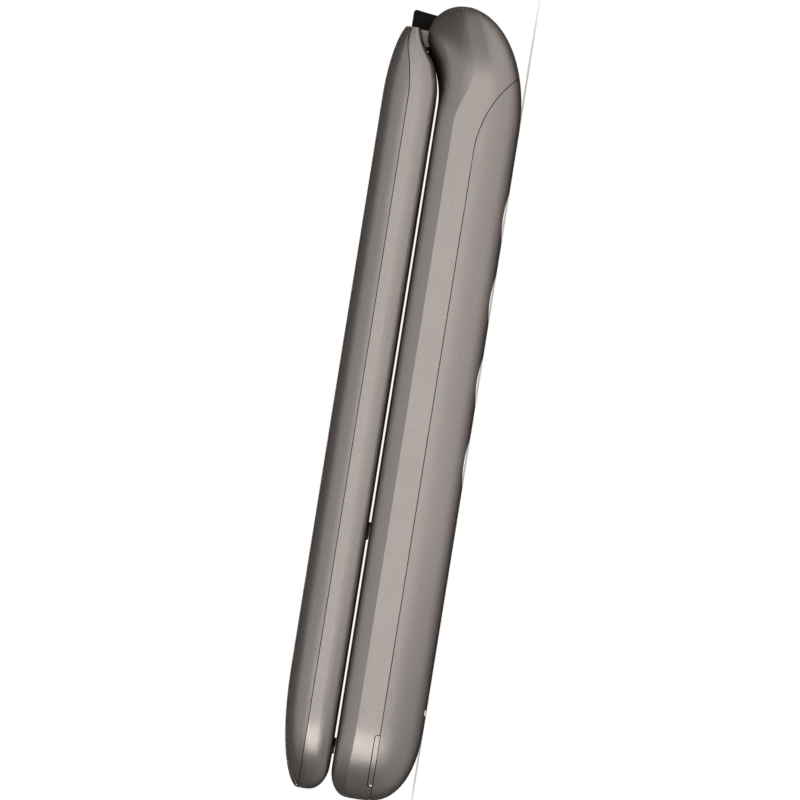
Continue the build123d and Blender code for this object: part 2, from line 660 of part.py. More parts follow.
KEYS = key_places()
DOME_PLACES = [centre for _, centre, _, _ in KEYS] + [
    (0, NAV_Y),
    (0, NAV_Y + NAV_RADIUS * 0.75),
    (0, NAV_Y - NAV_RADIUS * 0.75),
    (NAV_RADIUS * 0.75, NAV_Y),
    (-NAV_RADIUS * 0.75, NAV_Y),
]
SHEET_LENGTH = KEYPAD_HEAD_Y - KEYPAD_FOOT_Y
SHEET_WIDTH = WIDTH - 2 * KEYPAD_SIDE_MARGIN + 2
SHEET_CENTRE = (0, (KEYPAD_HEAD_Y + KEYPAD_FOOT_Y) / 2)

# ================================================================ base: outer shells
KNUCKLE_INNER = BARREL_HALF_LENGTH + BARREL_END_GAP
PIN_REACH = KNUCKLE_INNER + CARTRIDGE_LENGTH - 1.7
with BuildPart() as base_front_housing:
    add(base_envelope.part)
    add(cover_region(SEAM_GAP), mode=Mode.SUBTRACT)
    add(base_cavity.part, mode=Mode.SUBTRACT)
    add(centre_clearance(), mode=Mode.SUBTRACT)
    for _, centre, width, length in KEYS:
        slab(
            centre,
            width + 2 * KEY_GAP,
            length + 2 * KEY_GAP,
            KEY_CORNER + KEY_GAP,
            FACE_UNDER - 0.5,
            BASE_THICKNESS + 1,
            Mode.SUBTRACT,
        )
    disc((0, NAV_Y), NAV_RADIUS + KEY_GAP, FACE_UNDER - 0.5, BASE_THICKNESS + 1, Mode.SUBTRACT)
    for x, y in SCREW_PLACES:
        disc((x, y), BOSS_RADIUS, BOARD_TOP, FACE_UNDER)
        disc((x, y), SCREW_RADIUS, BOARD_TOP - 0.1, FACE_UNDER, Mode.SUBTRACT)
    # hinge bores in the knuckles, and the way for the flexible cable into the base
    cross_bar(
        KNUCKLE_INNER - 0.1,
        KNUCKLE_INNER + CARTRIDGE_LENGTH + SEAT_FIT,
        AXIS_Y,
        AXIS_Z,
        CARTRIDGE_RADIUS + SEAT_FIT,
        Mode.SUBTRACT,
    )
    cross_bar(
        -KNUCKLE_INNER - TUBE_REACH - PIECE_GAP,
        0.1 - KNUCKLE_INNER,
        AXIS_Y,
        AXIS_Z,
        TUBE_RADIUS + RUNNING_FIT,
        Mode.SUBTRACT,
    )
    block(
        (-KNUCKLE_INNER - 4.8, CAVITY_HEAD_Y - 0.5, AXIS_Z - FLEX_RADIUS),
        (-KNUCKLE_INNER - 1.0, AXIS_Y, AXIS_Z),
        Mode.SUBTRACT,
    )
    # socket openings in the foot and the left side, microphone hole, rocker slot
    block(
        (-USB_WIDTH / 2 - KEY_GAP, FOOT_Y - 1, USB_Z - USB_HEIGHT / 2 - KEY_GAP),
        (USB_WIDTH / 2 + KEY_GAP, CAVITY_FOOT_Y + 1, USB_Z + USB_HEIGHT / 2 + KEY_GAP),
        Mode.SUBTRACT,
    )
    cross_bar(-WIDTH, 2 - INNER_HALF_WIDTH, JACK_Y, SIDE_Z, JACK_BORE, Mode.SUBTRACT)
    disc(MICROPHONE_PLACE, 0.5, FACE_UNDER - 0.5, BASE_THICKNESS + 1, Mode.SUBTRACT)
    block(
        (-WIDTH, ROCKER_Y - ROCKER_LENGTH / 2 - PIECE_GAP, SIDE_Z - ROCKER_HEIGHT / 2 - KEY_GAP),
        (
            2 - INNER_HALF_WIDTH,
            ROCKER_Y + ROCKER_LENGTH / 2 + PIECE_GAP,
            SIDE_Z + ROCKER_HEIGHT / 2 + KEY_GAP,
        ),
        Mode.SUBTRACT,
    )
base_front_housing.part.label = "base_front_housing"
export_step(base_front_housing.part, "parts/base_front_housing.step")

with BuildPart() as tongue_line:
    # fine line along the foot of each tongue, only skin deep
    block(
        (-WIDTH, TONGUE_LOW_Y, SEAM_HEIGHT - SEAM_GAP / 2),
        (WIDTH, TONGUE_HIGH_Y, SEAM_HEIGHT + SEAM_GAP / 2),
    )
    loft(
        [
            base_section(between(TONGUE_LOW_Y - 0.5, TONGUE_HIGH_Y + 0.5, i / 6), TONGUE_LINE_DEPTH)
            for i in range(7)
        ],
        mode=Mode.SUBTRACT,
    )

LATCH_SLOT_LOW = LATCH_Y - LATCH_LENGTH / 2 - PIECE_GAP
LATCH_SLOT_HIGH = LATCH_Y + LATCH_LENGTH / 2 + LATCH_TRAVEL + PIECE_GAP
with BuildPart() as battery_cover:
    add(base_envelope.part)
    add(cover_region(0.0), mode=Mode.INTERSECT)
    add(base_cavity.part, mode=Mode.SUBTRACT)
    for i in range(GROOVE_COUNT):
        groove_y = HEAD_Y - GROOVE_FIRST - i * GROOVE_PITCH
        cross_bar(
            -WIDTH, WIDTH, groove_y, GROOVE_DEPTH - GROOVE_RADIUS, GROOVE_RADIUS, Mode.SUBTRACT
        )
    block(
        (-LATCH_WIDTH / 2 - PIECE_GAP, LATCH_SLOT_LOW, -1),
        (LATCH_WIDTH / 2 + PIECE_GAP, LATCH_SLOT_HIGH, BACK_WALL + 0.5),
        Mode.SUBTRACT,
    )
    for i in range(5):
        slab(
            (SPEAKER_X, HEAD_ROOM_Y + (i - 2) * SPEAKER_SLOT_PITCH), SPEAKER_SLOT_LENGTH, 0.8, 0.39,
            -1, BACK_WALL + 0.5, Mode.SUBTRACT,
        )
    add(tongue_line.part, mode=Mode.SUBTRACT)
    # nail notches in the two rounded edges, level with the latch
    notch_y = FOOT_Y + NOTCH_FROM_FOOT
    for side in (-1, 1):
        edge_x = side * (WIDTH / 2 - BASE_BACK_ROUND)
        block(
            (min(edge_x, 2 * edge_x), notch_y - NOTCH_LENGTH / 2, -1),
            (max(edge_x, 2 * edge_x), notch_y + NOTCH_LENGTH / 2, GROOVE_DEPTH),
            Mode.SUBTRACT,
        )
battery_cover.part.label = "battery_cover"
export_step(battery_cover.part, "parts/battery_cover.step")

# ================================================================ lid: outer shells
def lid_block_side(grow=0.0):
    """Side outline of the hinge's centre: round barrel with the block that stands up behind."""
    top = AXIS_Z + BLOCK_HEIGHT
    start = AXIS_Y + BLOCK_START
    end = AXIS_Y + BLOCK_REACH
    with BuildSketch(Plane.YZ.offset(-BARREL_HALF_LENGTH)) as side:
        with BuildLine():
            Polyline((start, AXIS_Z), (start, top), (end - BLOCK_CORNER, top))
            RadiusArc((end - BLOCK_CORNER, top), (end, top - BLOCK_CORNER), BLOCK_CORNER)
            Polyline(
                (end, top - BLOCK_CORNER),
                (end - 0.1, top - 1.0),
                (AXIS_Y + 0.62 * BARREL_RADIUS, AXIS_Z + 0.78 * BARREL_RADIUS),
                (AXIS_Y + 0.62 * BARREL_RADIUS, AXIS_Z),
                (start, AXIS_Z),
            )
        make_face()
        with Locations((AXIS_Y, AXIS_Z)):
            Circle(BARREL_RADIUS)
    return side.sketch


def lid_seam(y):
    """Height of the seam between the lid's shells, which bends outwards at the head."""
    share = between(LID_SEAM, LID_HEAD_SEAM, ease((y - BLEND_START_Y) / (LID_HEAD_Y - BLEND_START_Y)))
    return between(lid_inner(y), lid_outer(y), share)


def under_seam(shift):
    """Everything below the lid's seam, as a solid wider than the phone; shift moves the seam."""
    bend = [(y, lid_seam(y) + shift) for y in LID_HEAD_STATIONS]
    past_head = tuple(2 * end - before for end, before in zip(bend[-1], bend[-2]))
    with BuildPart() as region:
        with BuildSketch(Plane.YZ.offset(-WIDTH)) as side:
            with BuildLine():
                Line((-LENGTH, 0), (-LENGTH, LID_SEAM_Z + shift))
                Line((-LENGTH, LID_SEAM_Z + shift), bend[0])
                Spline(*bend, past_head)
                Polyline(past_head, (past_head[0], 0), (-LENGTH, 0))
            make_face()
        extrude(amount=2 * WIDTH)
    return region.part


NECK_START = AXIS_Y - 1.5
with BuildPart() as lid_body:
    add(lid_envelope.part)
    with BuildSketch(Plane.YZ.offset(-BARREL_HALF_LENGTH)) as neck_side:
        with BuildLine():
            Polyline(
                (NECK_START, LID_SEAM_Z),
                (NECK_START, AXIS_Z),
                (LID_HEAD_Y, AXIS_Z),
                (LID_HEAD_Y, LID_SEAM_Z),
                close=True,
            )
        make_face()
    extrude(amount=2 * BARREL_HALF_LENGTH)
    cross_bar(
        -BARREL_HALF_LENGTH - 0.01, BARREL_HALF_LENGTH + 0.01, AXIS_Y, AXIS_Z,
        BARREL_RADIUS + SEAT_FIT, Mode.SUBTRACT,
    )

TAIL_LEFT = -BARREL_HALF_LENGTH + 2.7
TAIL_RIGHT = TAIL_LEFT + 4.9
TAIL_Z = LID_BOARD_TOP + 0.03
TAIL_THICKNESS = 0.15
WINDOW_SEAT = WINDOW_THICKNESS + 2 * KEY_SINK


def flex_way():
    """Slot that the flexible cable's tail needs through the barrel, the neck and the lid."""
    with BuildPart() as way:
        block((TAIL_LEFT, AXIS_Y - 0.3, AXIS_Z), (TAIL_RIGHT, AXIS_Y + 0.3, TAIL_Z + 0.35))
        block(
            (TAIL_LEFT, LID_CAVITY_HEAD_Y - 0.5, TAIL_Z - 0.05),
            (TAIL_RIGHT, AXIS_Y + 0.3, TAIL_Z + 0.35),
        )
    return way.part


with BuildPart() as lid_inner_housing:
    add(lid_body.part)
    add(under_seam(-SEAM_GAP / 2), mode=Mode.INTERSECT)
    add(lid_cavity.part, mode=Mode.SUBTRACT)
    add(flex_way(), mode=Mode.SUBTRACT)
    slab(
        (0, WINDOW_CENTRE),
        WINDOW_WIDTH + 2 * KEY_SINK,
        WINDOW_LENGTH + 2 * KEY_SINK,
        WINDOW_CORNER,
        LID_BOTTOM - 1,
        LID_BOTTOM + WINDOW_SEAT,
        Mode.SUBTRACT,
    )
    slab((0, WINDOW_CENTRE), VIEW_WIDTH, VIEW_LENGTH, 0.5, LID_BOTTOM, LID_FLOOR + 1, Mode.SUBTRACT)
    for i in range(3):
        slab(
            (0, EARPIECE_CENTRE + (i - 1) * 1.3), 6.0, 0.6, 0.29,
            LID_BOTTOM - 1, LID_FLOOR + 1, Mode.SUBTRACT,
        )
    for y, length in BUMPER_PLACES:
        for side in (-1, 1):
            slab(
                (side * (WIDTH / 2 - BUMPER_INSET), y), BUMPER_WIDTH, length, 0.5,
                LID_BOTTOM - 1, LID_BOTTOM + BUMPER_DEPTH, Mode.SUBTRACT,
            )
lid_inner_housing.part.label = "lid_inner_housing"
export_step(lid_inner_housing.part, "parts/lid_inner_housing.step")

with BuildPart() as lid_front_cover:
    add(lid_body.part)
    add(under_seam(SEAM_GAP / 2), mode=Mode.SUBTRACT)
    add(lid_cavity.part, mode=Mode.SUBTRACT)
    add(flex_way(), mode=Mode.SUBTRACT)
    slab(
        (0, OUTER_WINDOW_CENTRE),
        OUTER_WINDOW_WIDTH + 2 * KEY_SINK,
        OUTER_WINDOW_LENGTH + 2 * KEY_SINK,
        WINDOW_CORNER,
        LID_TOP - WINDOW_SEAT,
        LID_TOP + 1,
        Mode.SUBTRACT,
    )
    slab(
        (0, OUTER_VIEW_CENTRE), OUTER_VIEW_WIDTH, OUTER_VIEW_LENGTH, 0.5,
        LID_CEILING - 0.5, LID_TOP, Mode.SUBTRACT,
    )
    disc((0, LENS_CENTRE), LENS_RADIUS + PIECE_GAP, LID_CEILING - 0.5, LID_TOP, Mode.SUBTRACT)
lid_front_cover.part.label = "lid_front_cover"
export_step(lid_front_cover.part, "parts/lid_front_cover.step")

# ================================================================ hinge
with BuildPart() as hinge_barrel:
    extrude(lid_block_side(), amount=2 * BARREL_HALF_LENGTH)
    cross_bar(
        BARREL_HALF_LENGTH - PIN_SOCKET_DEPTH, WIDTH, AXIS_Y, AXIS_Z,
        PIN_RADIUS + SEAT_FIT, Mode.SUBTRACT,
    )
    cross_bar(
        -WIDTH, TUBE_SOCKET_DEPTH - BARREL_HALF_LENGTH, AXIS_Y, AXIS_Z,
        TUBE_RADIUS + SEAT_FIT, Mode.SUBTRACT,
    )
    add(flex_way(), mode=Mode.SUBTRACT)
hinge_barrel.part.label = "hinge_barrel"
export_step(hinge_barrel.part, "parts/hinge_barrel.step")

with BuildPart() as hinge_pin:
    cross_bar(
        BARREL_HALF_LENGTH - PIN_SOCKET_DEPTH + SEAT_FIT, PIN_REACH, AXIS_Y, AXIS_Z, PIN_RADIUS
    )
hinge_pin.part.label = "hinge_pin"
export_step(hinge_pin.part, "parts/hinge_pin.step")

with BuildPart() as hinge_cartridge:
    cross_bar(KNUCKLE_INNER, KNUCKLE_INNER + CARTRIDGE_LENGTH, AXIS_Y, AXIS_Z, CARTRIDGE_RADIUS)
    cross_bar(
        KNUCKLE_INNER, PIN_REACH + PIECE_GAP, AXIS_Y, AXIS_Z,
        PIN_RADIUS + RUNNING_FIT, Mode.SUBTRACT,
    )
hinge_cartridge.part.label = "hinge_cartridge"
export_step(hinge_cartridge.part, "parts/hinge_cartridge.step")

with BuildPart() as pivot_tube:
    cross_bar(
        -KNUCKLE_INNER - TUBE_REACH, TUBE_SOCKET_DEPTH - BARREL_HALF_LENGTH - SEAT_FIT,
        AXIS_Y, AXIS_Z, TUBE_RADIUS,
    )
    cross_bar(-WIDTH, 0, AXIS_Y, AXIS_Z, TUBE_RADIUS - TUBE_WALL, Mode.SUBTRACT)
    add(flex_way(), mode=Mode.SUBTRACT)
pivot_tube.part.label = "pivot_tube"
export_step(pivot_tube.part, "parts/pivot_tube.step")

with BuildPart() as flex_cable:
    cross_bar(
        -KNUCKLE_INNER - TUBE_REACH + 0.4, TUBE_SOCKET_DEPTH - BARREL_HALF_LENGTH - 0.4,
        AXIS_Y, AXIS_Z, FLEX_RADIUS,
    )
    tail_low = (TAIL_LEFT + PIECE_GAP, AXIS_Y - TAIL_THICKNESS / 2, AXIS_Z)
    block(tail_low, (TAIL_RIGHT - PIECE_GAP, AXIS_Y + TAIL_THICKNESS / 2, TAIL_Z + TAIL_THICKNESS))
    block(
        (TAIL_LEFT + PIECE_GAP, LID_CAVITY_HEAD_Y - 3.0, TAIL_Z),
        (TAIL_RIGHT - PIECE_GAP, AXIS_Y + TAIL_THICKNESS / 2, TAIL_Z + TAIL_THICKNESS),
    )
flex_cable.part.label = "flex_cable"
export_step(flex_cable.part, "parts/flex_cable.step")

# ================================================================ base: inside
FRAME_CORNER = BOARD_CORNER
BAY_LENGTH = BATTERY_HEAD_Y - BATTERY_FOOT_Y
BAY_CENTRE = (0, (BATTERY_HEAD_Y + BATTERY_FOOT_Y) / 2)
CONTACT_HALF = 5.0
SIM_CENTRE = (0, BAY_CENTRE[1])
SIM_OUTER_WIDTH = SIM_WIDTH + 2 * SIM_WALL
SIM_OUTER_LENGTH = SIM_LENGTH + 2 * SIM_WALL
SWITCH_X = -BOARD_HALF_WIDTH
SWITCH_REACH = 0.45
SWITCH_SPREAD = 5.0


def socket_notches():
    """Room in the frame and the board for the two sockets that straddle the board."""
    with BuildPart() as notches:
        block(
            (-USB_WIDTH / 2 - PIECE_GAP, -LENGTH, 0),
            (USB_WIDTH / 2 + PIECE_GAP, FOOT_Y + 0.6 + USB_DEPTH + PIECE_GAP, BASE_THICKNESS),
        )
        block(
            (-WIDTH, JACK_Y - JACK_SIZE / 2 - PIECE_GAP, 0),
            (JACK_END + PIECE_GAP, JACK_Y + JACK_SIZE / 2 + PIECE_GAP, BASE_THICKNESS),
        )
    return notches.part


with BuildPart() as inner_frame:
    slab(
        (0, BOARD_CENTRE_Y), 2 * (INNER_HALF_WIDTH - PIECE_GAP), BOARD_LENGTH, FRAME_CORNER,
        FRAME_BOTTOM, FRAME_TOP,
    )
    bay_width = BATTERY_WIDTH + 2 * PIECE_GAP
    bay_length = BAY_LENGTH + 2 * PIECE_GAP
    slab(
        BAY_CENTRE, bay_width + 2 * BAY_WALL, bay_length + 2 * BAY_WALL, BATTERY_CORNER + BAY_WALL,
        BATTERY_BOTTOM, FRAME_BOTTOM,
    )
    slab(
        BAY_CENTRE, bay_width, bay_length, BATTERY_CORNER,
        BATTERY_BOTTOM, FRAME_BOTTOM, Mode.SUBTRACT,
    )
    block(
        (-CONTACT_HALF - PIECE_GAP, BATTERY_HEAD_Y, 0),
        (CONTACT_HALF + PIECE_GAP, BATTERY_HEAD_Y + 3, FRAME_BOTTOM),
        Mode.SUBTRACT,
    )
    slab(
        SIM_CENTRE, SIM_OUTER_WIDTH + 2 * PIECE_GAP, SIM_OUTER_LENGTH + 2 * PIECE_GAP, 0.6,
        0, FRAME_TOP + 1, Mode.SUBTRACT,
    )
    for x, y in SCREW_PLACES:
        disc((x, y), BOSS_RADIUS, FRAME_TOP, BOARD_BOTTOM)
        disc((x, y), SCREW_RADIUS + PIECE_GAP, 0, BOARD_BOTTOM + 1, Mode.SUBTRACT)
    block(
        (-WIDTH, ROCKER_Y - SWITCH_SPREAD - 1.7, 0),
        (SWITCH_X + 1.9, ROCKER_Y + SWITCH_SPREAD + 1.7, BASE_THICKNESS),
        Mode.SUBTRACT,
    )
    block(
        (-WIDTH, ROCKER_Y - ROCKER_LENGTH / 2 - 1.0, 0),
        (SWITCH_X - 0.2, ROCKER_Y + ROCKER_LENGTH / 2 + 1.0, BASE_THICKNESS),
        Mode.SUBTRACT,
    )
    add(socket_notches(), mode=Mode.SUBTRACT)
inner_frame.part.label = "inner_frame"
export_step(inner_frame.part, "parts/inner_frame.step")

with BuildPart() as battery:
    slab(BAY_CENTRE, BATTERY_WIDTH, BAY_LENGTH, BATTERY_CORNER, BATTERY_BOTTOM, BATTERY_TOP)
    fillet(battery.faces().sort_by(Axis.Z)[0].edges(), 0.6)
battery.part.label = "battery"
export_step(battery.part, "parts/battery.step")

with BuildPart() as battery_contacts:
    contact_low = BATTERY_HEAD_Y + PIECE_GAP
    block(
        (-CONTACT_HALF, contact_low + 0.3, BATTERY_BOTTOM + 1.2),
        (CONTACT_HALF, contact_low + 2.4, FRAME_BOTTOM),
    )
    for x in (-3, 0, 3):
        block(
            (x - 0.6, contact_low, BATTERY_BOTTOM + 1.85),
            (x + 0.6, contact_low + 0.4, FRAME_BOTTOM - 0.8),
        )
battery_contacts.part.label = "battery_contacts"
export_step(battery_contacts.part, "parts/battery_contacts.step")

with BuildPart() as main_board:
    slab(
        (0, BOARD_CENTRE_Y), 2 * BOARD_HALF_WIDTH, BOARD_LENGTH, BOARD_CORNER,
        BOARD_BOTTOM, BOARD_TOP,
    )
    for x, y in SCREW_PLACES:
        disc((x, y), SCREW_RADIUS + PIECE_GAP, BOARD_BOTTOM, BOARD_TOP, Mode.SUBTRACT)
    add(socket_notches(), mode=Mode.SUBTRACT)
main_board.part.label = "main_board"
export_step(main_board.part, "parts/main_board.step")

with BuildPart() as shield_cans:
    for left, right in ((JACK_END + 0.4, 3.5), (4.5, BOARD_HALF_WIDTH - 3.7)):
        block((left, CAN_FOOT_Y, BOARD_TOP), (right, CAN_HEAD_Y, BOARD_TOP + CAN_HEIGHT))
        block(
            (left + CAN_WALL, CAN_FOOT_Y + CAN_WALL, BOARD_TOP),
            (right - CAN_WALL, CAN_HEAD_Y - CAN_WALL, BOARD_TOP + CAN_HEIGHT - CAN_WALL),
            Mode.SUBTRACT,
        )
shield_cans.part.label = "shield_cans"
export_step(shield_cans.part, "parts/shield_cans.step")

with BuildPart() as dome_sheet:
    slab(SHEET_CENTRE, SHEET_WIDTH, SHEET_LENGTH, 2.0, BOARD_TOP, DOME_SHEET_TOP)
    for centre in DOME_PLACES:
        with Locations((centre[0], centre[1], DOME_SHEET_TOP + DOME_HEIGHT / 2)):
            Cone(DOME_RADIUS, DOME_RADIUS / 2, DOME_HEIGHT)
dome_sheet.part.label = "dome_sheet"
export_step(dome_sheet.part, "parts/dome_sheet.step")

with BuildPart() as keypad_membrane:
    slab(SHEET_CENTRE, SHEET_WIDTH, SHEET_LENGTH, 2.0, MEMBRANE_BOTTOM, MEMBRANE_TOP)
keypad_membrane.part.label = "keypad_membrane"
export_step(keypad_membrane.part, "parts/keypad_membrane.step")

with BuildPart() as sim_holder:
    slab(SIM_CENTRE, SIM_OUTER_WIDTH, SIM_OUTER_LENGTH, 0.5, FRAME_BOTTOM, BOARD_BOTTOM)
    slab(
        SIM_CENTRE, SIM_WIDTH + 2 * PIECE_GAP, SIM_LENGTH + 2 * PIECE_GAP, 0.3,
        FRAME_BOTTOM, BOARD_BOTTOM - 0.15, Mode.SUBTRACT,
    )
sim_holder.part.label = "sim_holder"
export_step(sim_holder.part, "parts/sim_holder.step")

with BuildPart() as sim_card:
    card_top = BOARD_BOTTOM - 0.15 - SEAT_FIT
    slab(SIM_CENTRE, SIM_WIDTH, SIM_LENGTH, 1.0, card_top - SIM_THICKNESS, card_top)
sim_card.part.label = "sim_card"
export_step(sim_card.part, "parts/sim_card.step")

with BuildPart() as usb_port:
    mouth_y = FOOT_Y + 0.6
    block(
        (-USB_WIDTH / 2, mouth_y, USB_Z - USB_HEIGHT / 2),
        (USB_WIDTH / 2, mouth_y + USB_DEPTH, USB_Z + USB_HEIGHT / 2),
    )
    fillet(usb_port.edges().filter_by(Axis.Y), 0.5)
    block(
        (USB_WALL - USB_WIDTH / 2, mouth_y, USB_Z + USB_WALL - USB_HEIGHT / 2),
        (USB_WIDTH / 2 - USB_WALL, mouth_y + USB_DEPTH - 1, USB_Z + USB_HEIGHT / 2 - USB_WALL),
        Mode.SUBTRACT,
    )
    block(
        (0.9 - USB_WIDTH / 2, mouth_y + 0.6, USB_Z - 0.1),
        (USB_WIDTH / 2 - 0.9, mouth_y + USB_DEPTH - 0.5, USB_Z + 0.5),
    )
usb_port.part.label = "usb_port"
export_step(usb_port.part, "parts/usb_port.step")

with BuildPart() as headset_jack:
    block(
        (JACK_START, JACK_Y - JACK_SIZE / 2, SIDE_Z - JACK_HEIGHT / 2),
        (JACK_END, JACK_Y + JACK_SIZE / 2, SIDE_Z + JACK_HEIGHT / 2),
    )
    cross_bar(PIECE_GAP - INNER_HALF_WIDTH, JACK_START, JACK_Y, SIDE_Z, JACK_BORE + 0.4)
    cross_bar(-WIDTH, JACK_END - 1.0, JACK_Y, SIDE_Z, JACK_BORE, Mode.SUBTRACT)
headset_jack.part.label = "headset_jack"
export_step(headset_jack.part, "parts/headset_jack.step")

with BuildPart() as microphone:
    disc(MICROPHONE_PLACE, MICROPHONE_RADIUS, BOARD_TOP, BOARD_TOP + MICROPHONE_HEIGHT)
    fillet(microphone.faces().sort_by(Axis.Z)[-1].edges(), 0.3)
microphone.part.label = "microphone"
export_step(microphone.part, "parts/microphone.step")

with BuildPart() as loudspeaker:
    slab(
        (SPEAKER_X, HEAD_ROOM_Y), SPEAKER_WIDTH, SPEAKER_LENGTH, 2.5,
        FRAME_BOTTOM - SPEAKER_HEIGHT, FRAME_BOTTOM,
    )
    slab(
        (SPEAKER_X, HEAD_ROOM_Y), SPEAKER_WIDTH - 3, SPEAKER_LENGTH - 3, 2.0,
        FRAME_BOTTOM - SPEAKER_HEIGHT, FRAME_BOTTOM - SPEAKER_HEIGHT + 0.5, Mode.SUBTRACT,
    )
loudspeaker.part.label = "loudspeaker"
export_step(loudspeaker.part, "parts/loudspeaker.step")

with BuildPart() as vibration_motor:
    disc((MOTOR_X, HEAD_ROOM_Y), MOTOR_RADIUS, FRAME_BOTTOM - MOTOR_HEIGHT, FRAME_BOTTOM)
    fillet(vibration_motor.faces().sort_by(Axis.Z)[0].edges(), 0.5)
vibration_motor.part.label = "vibration_motor"
export_step(vibration_motor.part, "parts/vibration_motor.step")

with BuildPart() as antenna_carrier:
    carrier_low = FOOT_Y + 0.6 + USB_DEPTH + 0.4
    carrier_high = BATTERY_FOOT_Y - PIECE_GAP - BAY_WALL - PIECE_GAP
    slab(
        (0, (carrier_low + carrier_high) / 2), ANTENNA_WIDTH, carrier_high - carrier_low, 1.5,
        FRAME_BOTTOM - ANTENNA_HEIGHT, FRAME_BOTTOM,
    )
    slab(
        (0, (carrier_low + carrier_high) / 2), ANTENNA_WIDTH - 3, carrier_high - carrier_low - 3, 0.8,
        FRAME_BOTTOM - ANTENNA_HEIGHT + 0.8, FRAME_BOTTOM, Mode.SUBTRACT,
    )
antenna_carrier.part.label = "antenna_carrier"
export_step(antenna_carrier.part, "parts/antenna_carrier.step")

with BuildPart() as housing_screws:
    for x, y in SCREW_PLACES:
        disc((x, y), SCREW_HEAD_RADIUS, FRAME_BOTTOM - SCREW_HEAD_HEIGHT, FRAME_BOTTOM)
        disc((x, y), SCREW_RADIUS - SEAT_FIT, FRAME_BOTTOM, FACE_UNDER - 0.2)
        slab(
            (x, y), 1.6, 0.4, 0.1,
            FRAME_BOTTOM - SCREW_HEAD_HEIGHT, FRAME_BOTTOM - SCREW_HEAD_HEIGHT / 2, Mode.SUBTRACT,
        )
housing_screws.part.label = "housing_screws"
export_step(housing_screws.part, "parts/housing_screws.step")

with BuildPart() as side_switches:
    for side in (-1, 1):
        y = ROCKER_Y + side * SWITCH_SPREAD
        block((SWITCH_X, y - 1.5, BOARD_BOTTOM - 1.4), (SWITCH_X + 1.7, y + 1.5, BOARD_BOTTOM))
        block(
            (SWITCH_X - SWITCH_REACH, y - 0.7, BOARD_BOTTOM - 1.1),
            (SWITCH_X, y + 0.7, BOARD_BOTTOM - 0.3),
        )
side_switches.part.label = "side_switches"
export_step(side_switches.part, "parts/side_switches.step")

# ================================================================ keys
for name, centre, width, length in KEYS:
    with BuildPart() as key:
        slab(centre, width, length, KEY_CORNER, FLANGE_TOP, KEY_TOP)
        fillet(key.faces().sort_by(Axis.Z)[-1].edges(), KEY_CROWN)
        slab(
            centre, width + 2 * FLANGE_LIP, length + 2 * FLANGE_LIP, KEY_CORNER,
            FLANGE_BOTTOM, FLANGE_TOP,
        )
    key.part.label = name
    export_step(key.part, f"parts/{name}.step")

with BuildPart() as nav_ring:
    disc((0, NAV_Y), NAV_RADIUS, FLANGE_TOP, KEY_TOP)
    fillet(nav_ring.faces().sort_by(Axis.Z)[-1].edges(), KEY_CROWN)
    disc((0, NAV_Y), NAV_RADIUS + FLANGE_LIP, FLANGE_BOTTOM, FLANGE_TOP)
    disc((0, NAV_Y), OK_RADIUS + RING_GAP, 0, BASE_THICKNESS, Mode.SUBTRACT)
nav_ring.part.label = "nav_ring"
export_step(nav_ring.part, "parts/nav_ring.step")

with BuildPart() as ok_key:
    disc((0, NAV_Y), OK_RADIUS, FLANGE_BOTTOM, KEY_TOP)
    fillet(ok_key.faces().sort_by(Axis.Z)[-1].edges(), KEY_CROWN)
ok_key.part.label = "ok_key"
export_step(ok_key.part, "parts/ok_key.step")

ROCKER_X = ROCKER_PLAY - INNER_HALF_WIDTH
with BuildPart() as volume_key:
    block(
        (KEY_SINK - WIDTH / 2, ROCKER_Y - ROCKER_LENGTH / 2, SIDE_Z - ROCKER_HEIGHT / 2),
        (ROCKER_X, ROCKER_Y + ROCKER_LENGTH / 2, SIDE_Z + ROCKER_HEIGHT / 2),
    )
    fillet(volume_key.faces().sort_by(Axis.X)[0].edges(), KEY_CROWN)
    flange_y = ROCKER_LENGTH / 2 + 0.6
    flange_z = ROCKER_HEIGHT / 2 + 0.5
    block(
        (ROCKER_X, ROCKER_Y - flange_y, SIDE_Z - flange_z),
        (ROCKER_X + ROCKER_FLANGE, ROCKER_Y + flange_y, SIDE_Z + flange_z),
    )
    pivot = (ROCKER_X + ROCKER_FLANGE / 2, ROCKER_Y)
    disc(pivot, ROCKER_PIVOT_RADIUS, SIDE_Z - flange_z, SIDE_Z + flange_z)
volume_key.part.label = "volume_key"
export_step(volume_key.part, "parts/volume_key.step")

with BuildPart() as cover_latch:
    block(
        (-LATCH_WIDTH / 2, LATCH_Y - LATCH_LENGTH / 2, LATCH_SINK),
        (LATCH_WIDTH / 2, LATCH_Y + LATCH_LENGTH / 2, BACK_WALL + PIECE_GAP),
    )
    for i in range(4):
        block(
            (-LATCH_WIDTH / 2 + 1, LATCH_Y - 1.75 + i, 0),
            (LATCH_WIDTH / 2 - 1, LATCH_Y - 1.25 + i, LATCH_SINK + 0.2),
            Mode.SUBTRACT,
        )
    block(
        (-LATCH_WIDTH / 2 - 1.5, LATCH_SLOT_LOW - 0.2 - LATCH_TRAVEL, BATTERY_BOTTOM),
        (LATCH_WIDTH / 2 + 1.5, LATCH_SLOT_HIGH + 0.2, BATTERY_BOTTOM + 0.6),
    )
cover_latch.part.label = "cover_latch"
export_step(cover_latch.part, "parts/cover_latch.step")

# ================================================================ lid: inside
with BuildPart() as main_display_window:
    slab(
        (0, WINDOW_CENTRE), WINDOW_WIDTH, WINDOW_LENGTH, WINDOW_CORNER,
        LID_BOTTOM + KEY_SINK, LID_BOTTOM + KEY_SINK + WINDOW_THICKNESS,
    )
main_display_window.part.label = "main_display_window"
export_step(main_display_window.part, "parts/main_display_window.step")

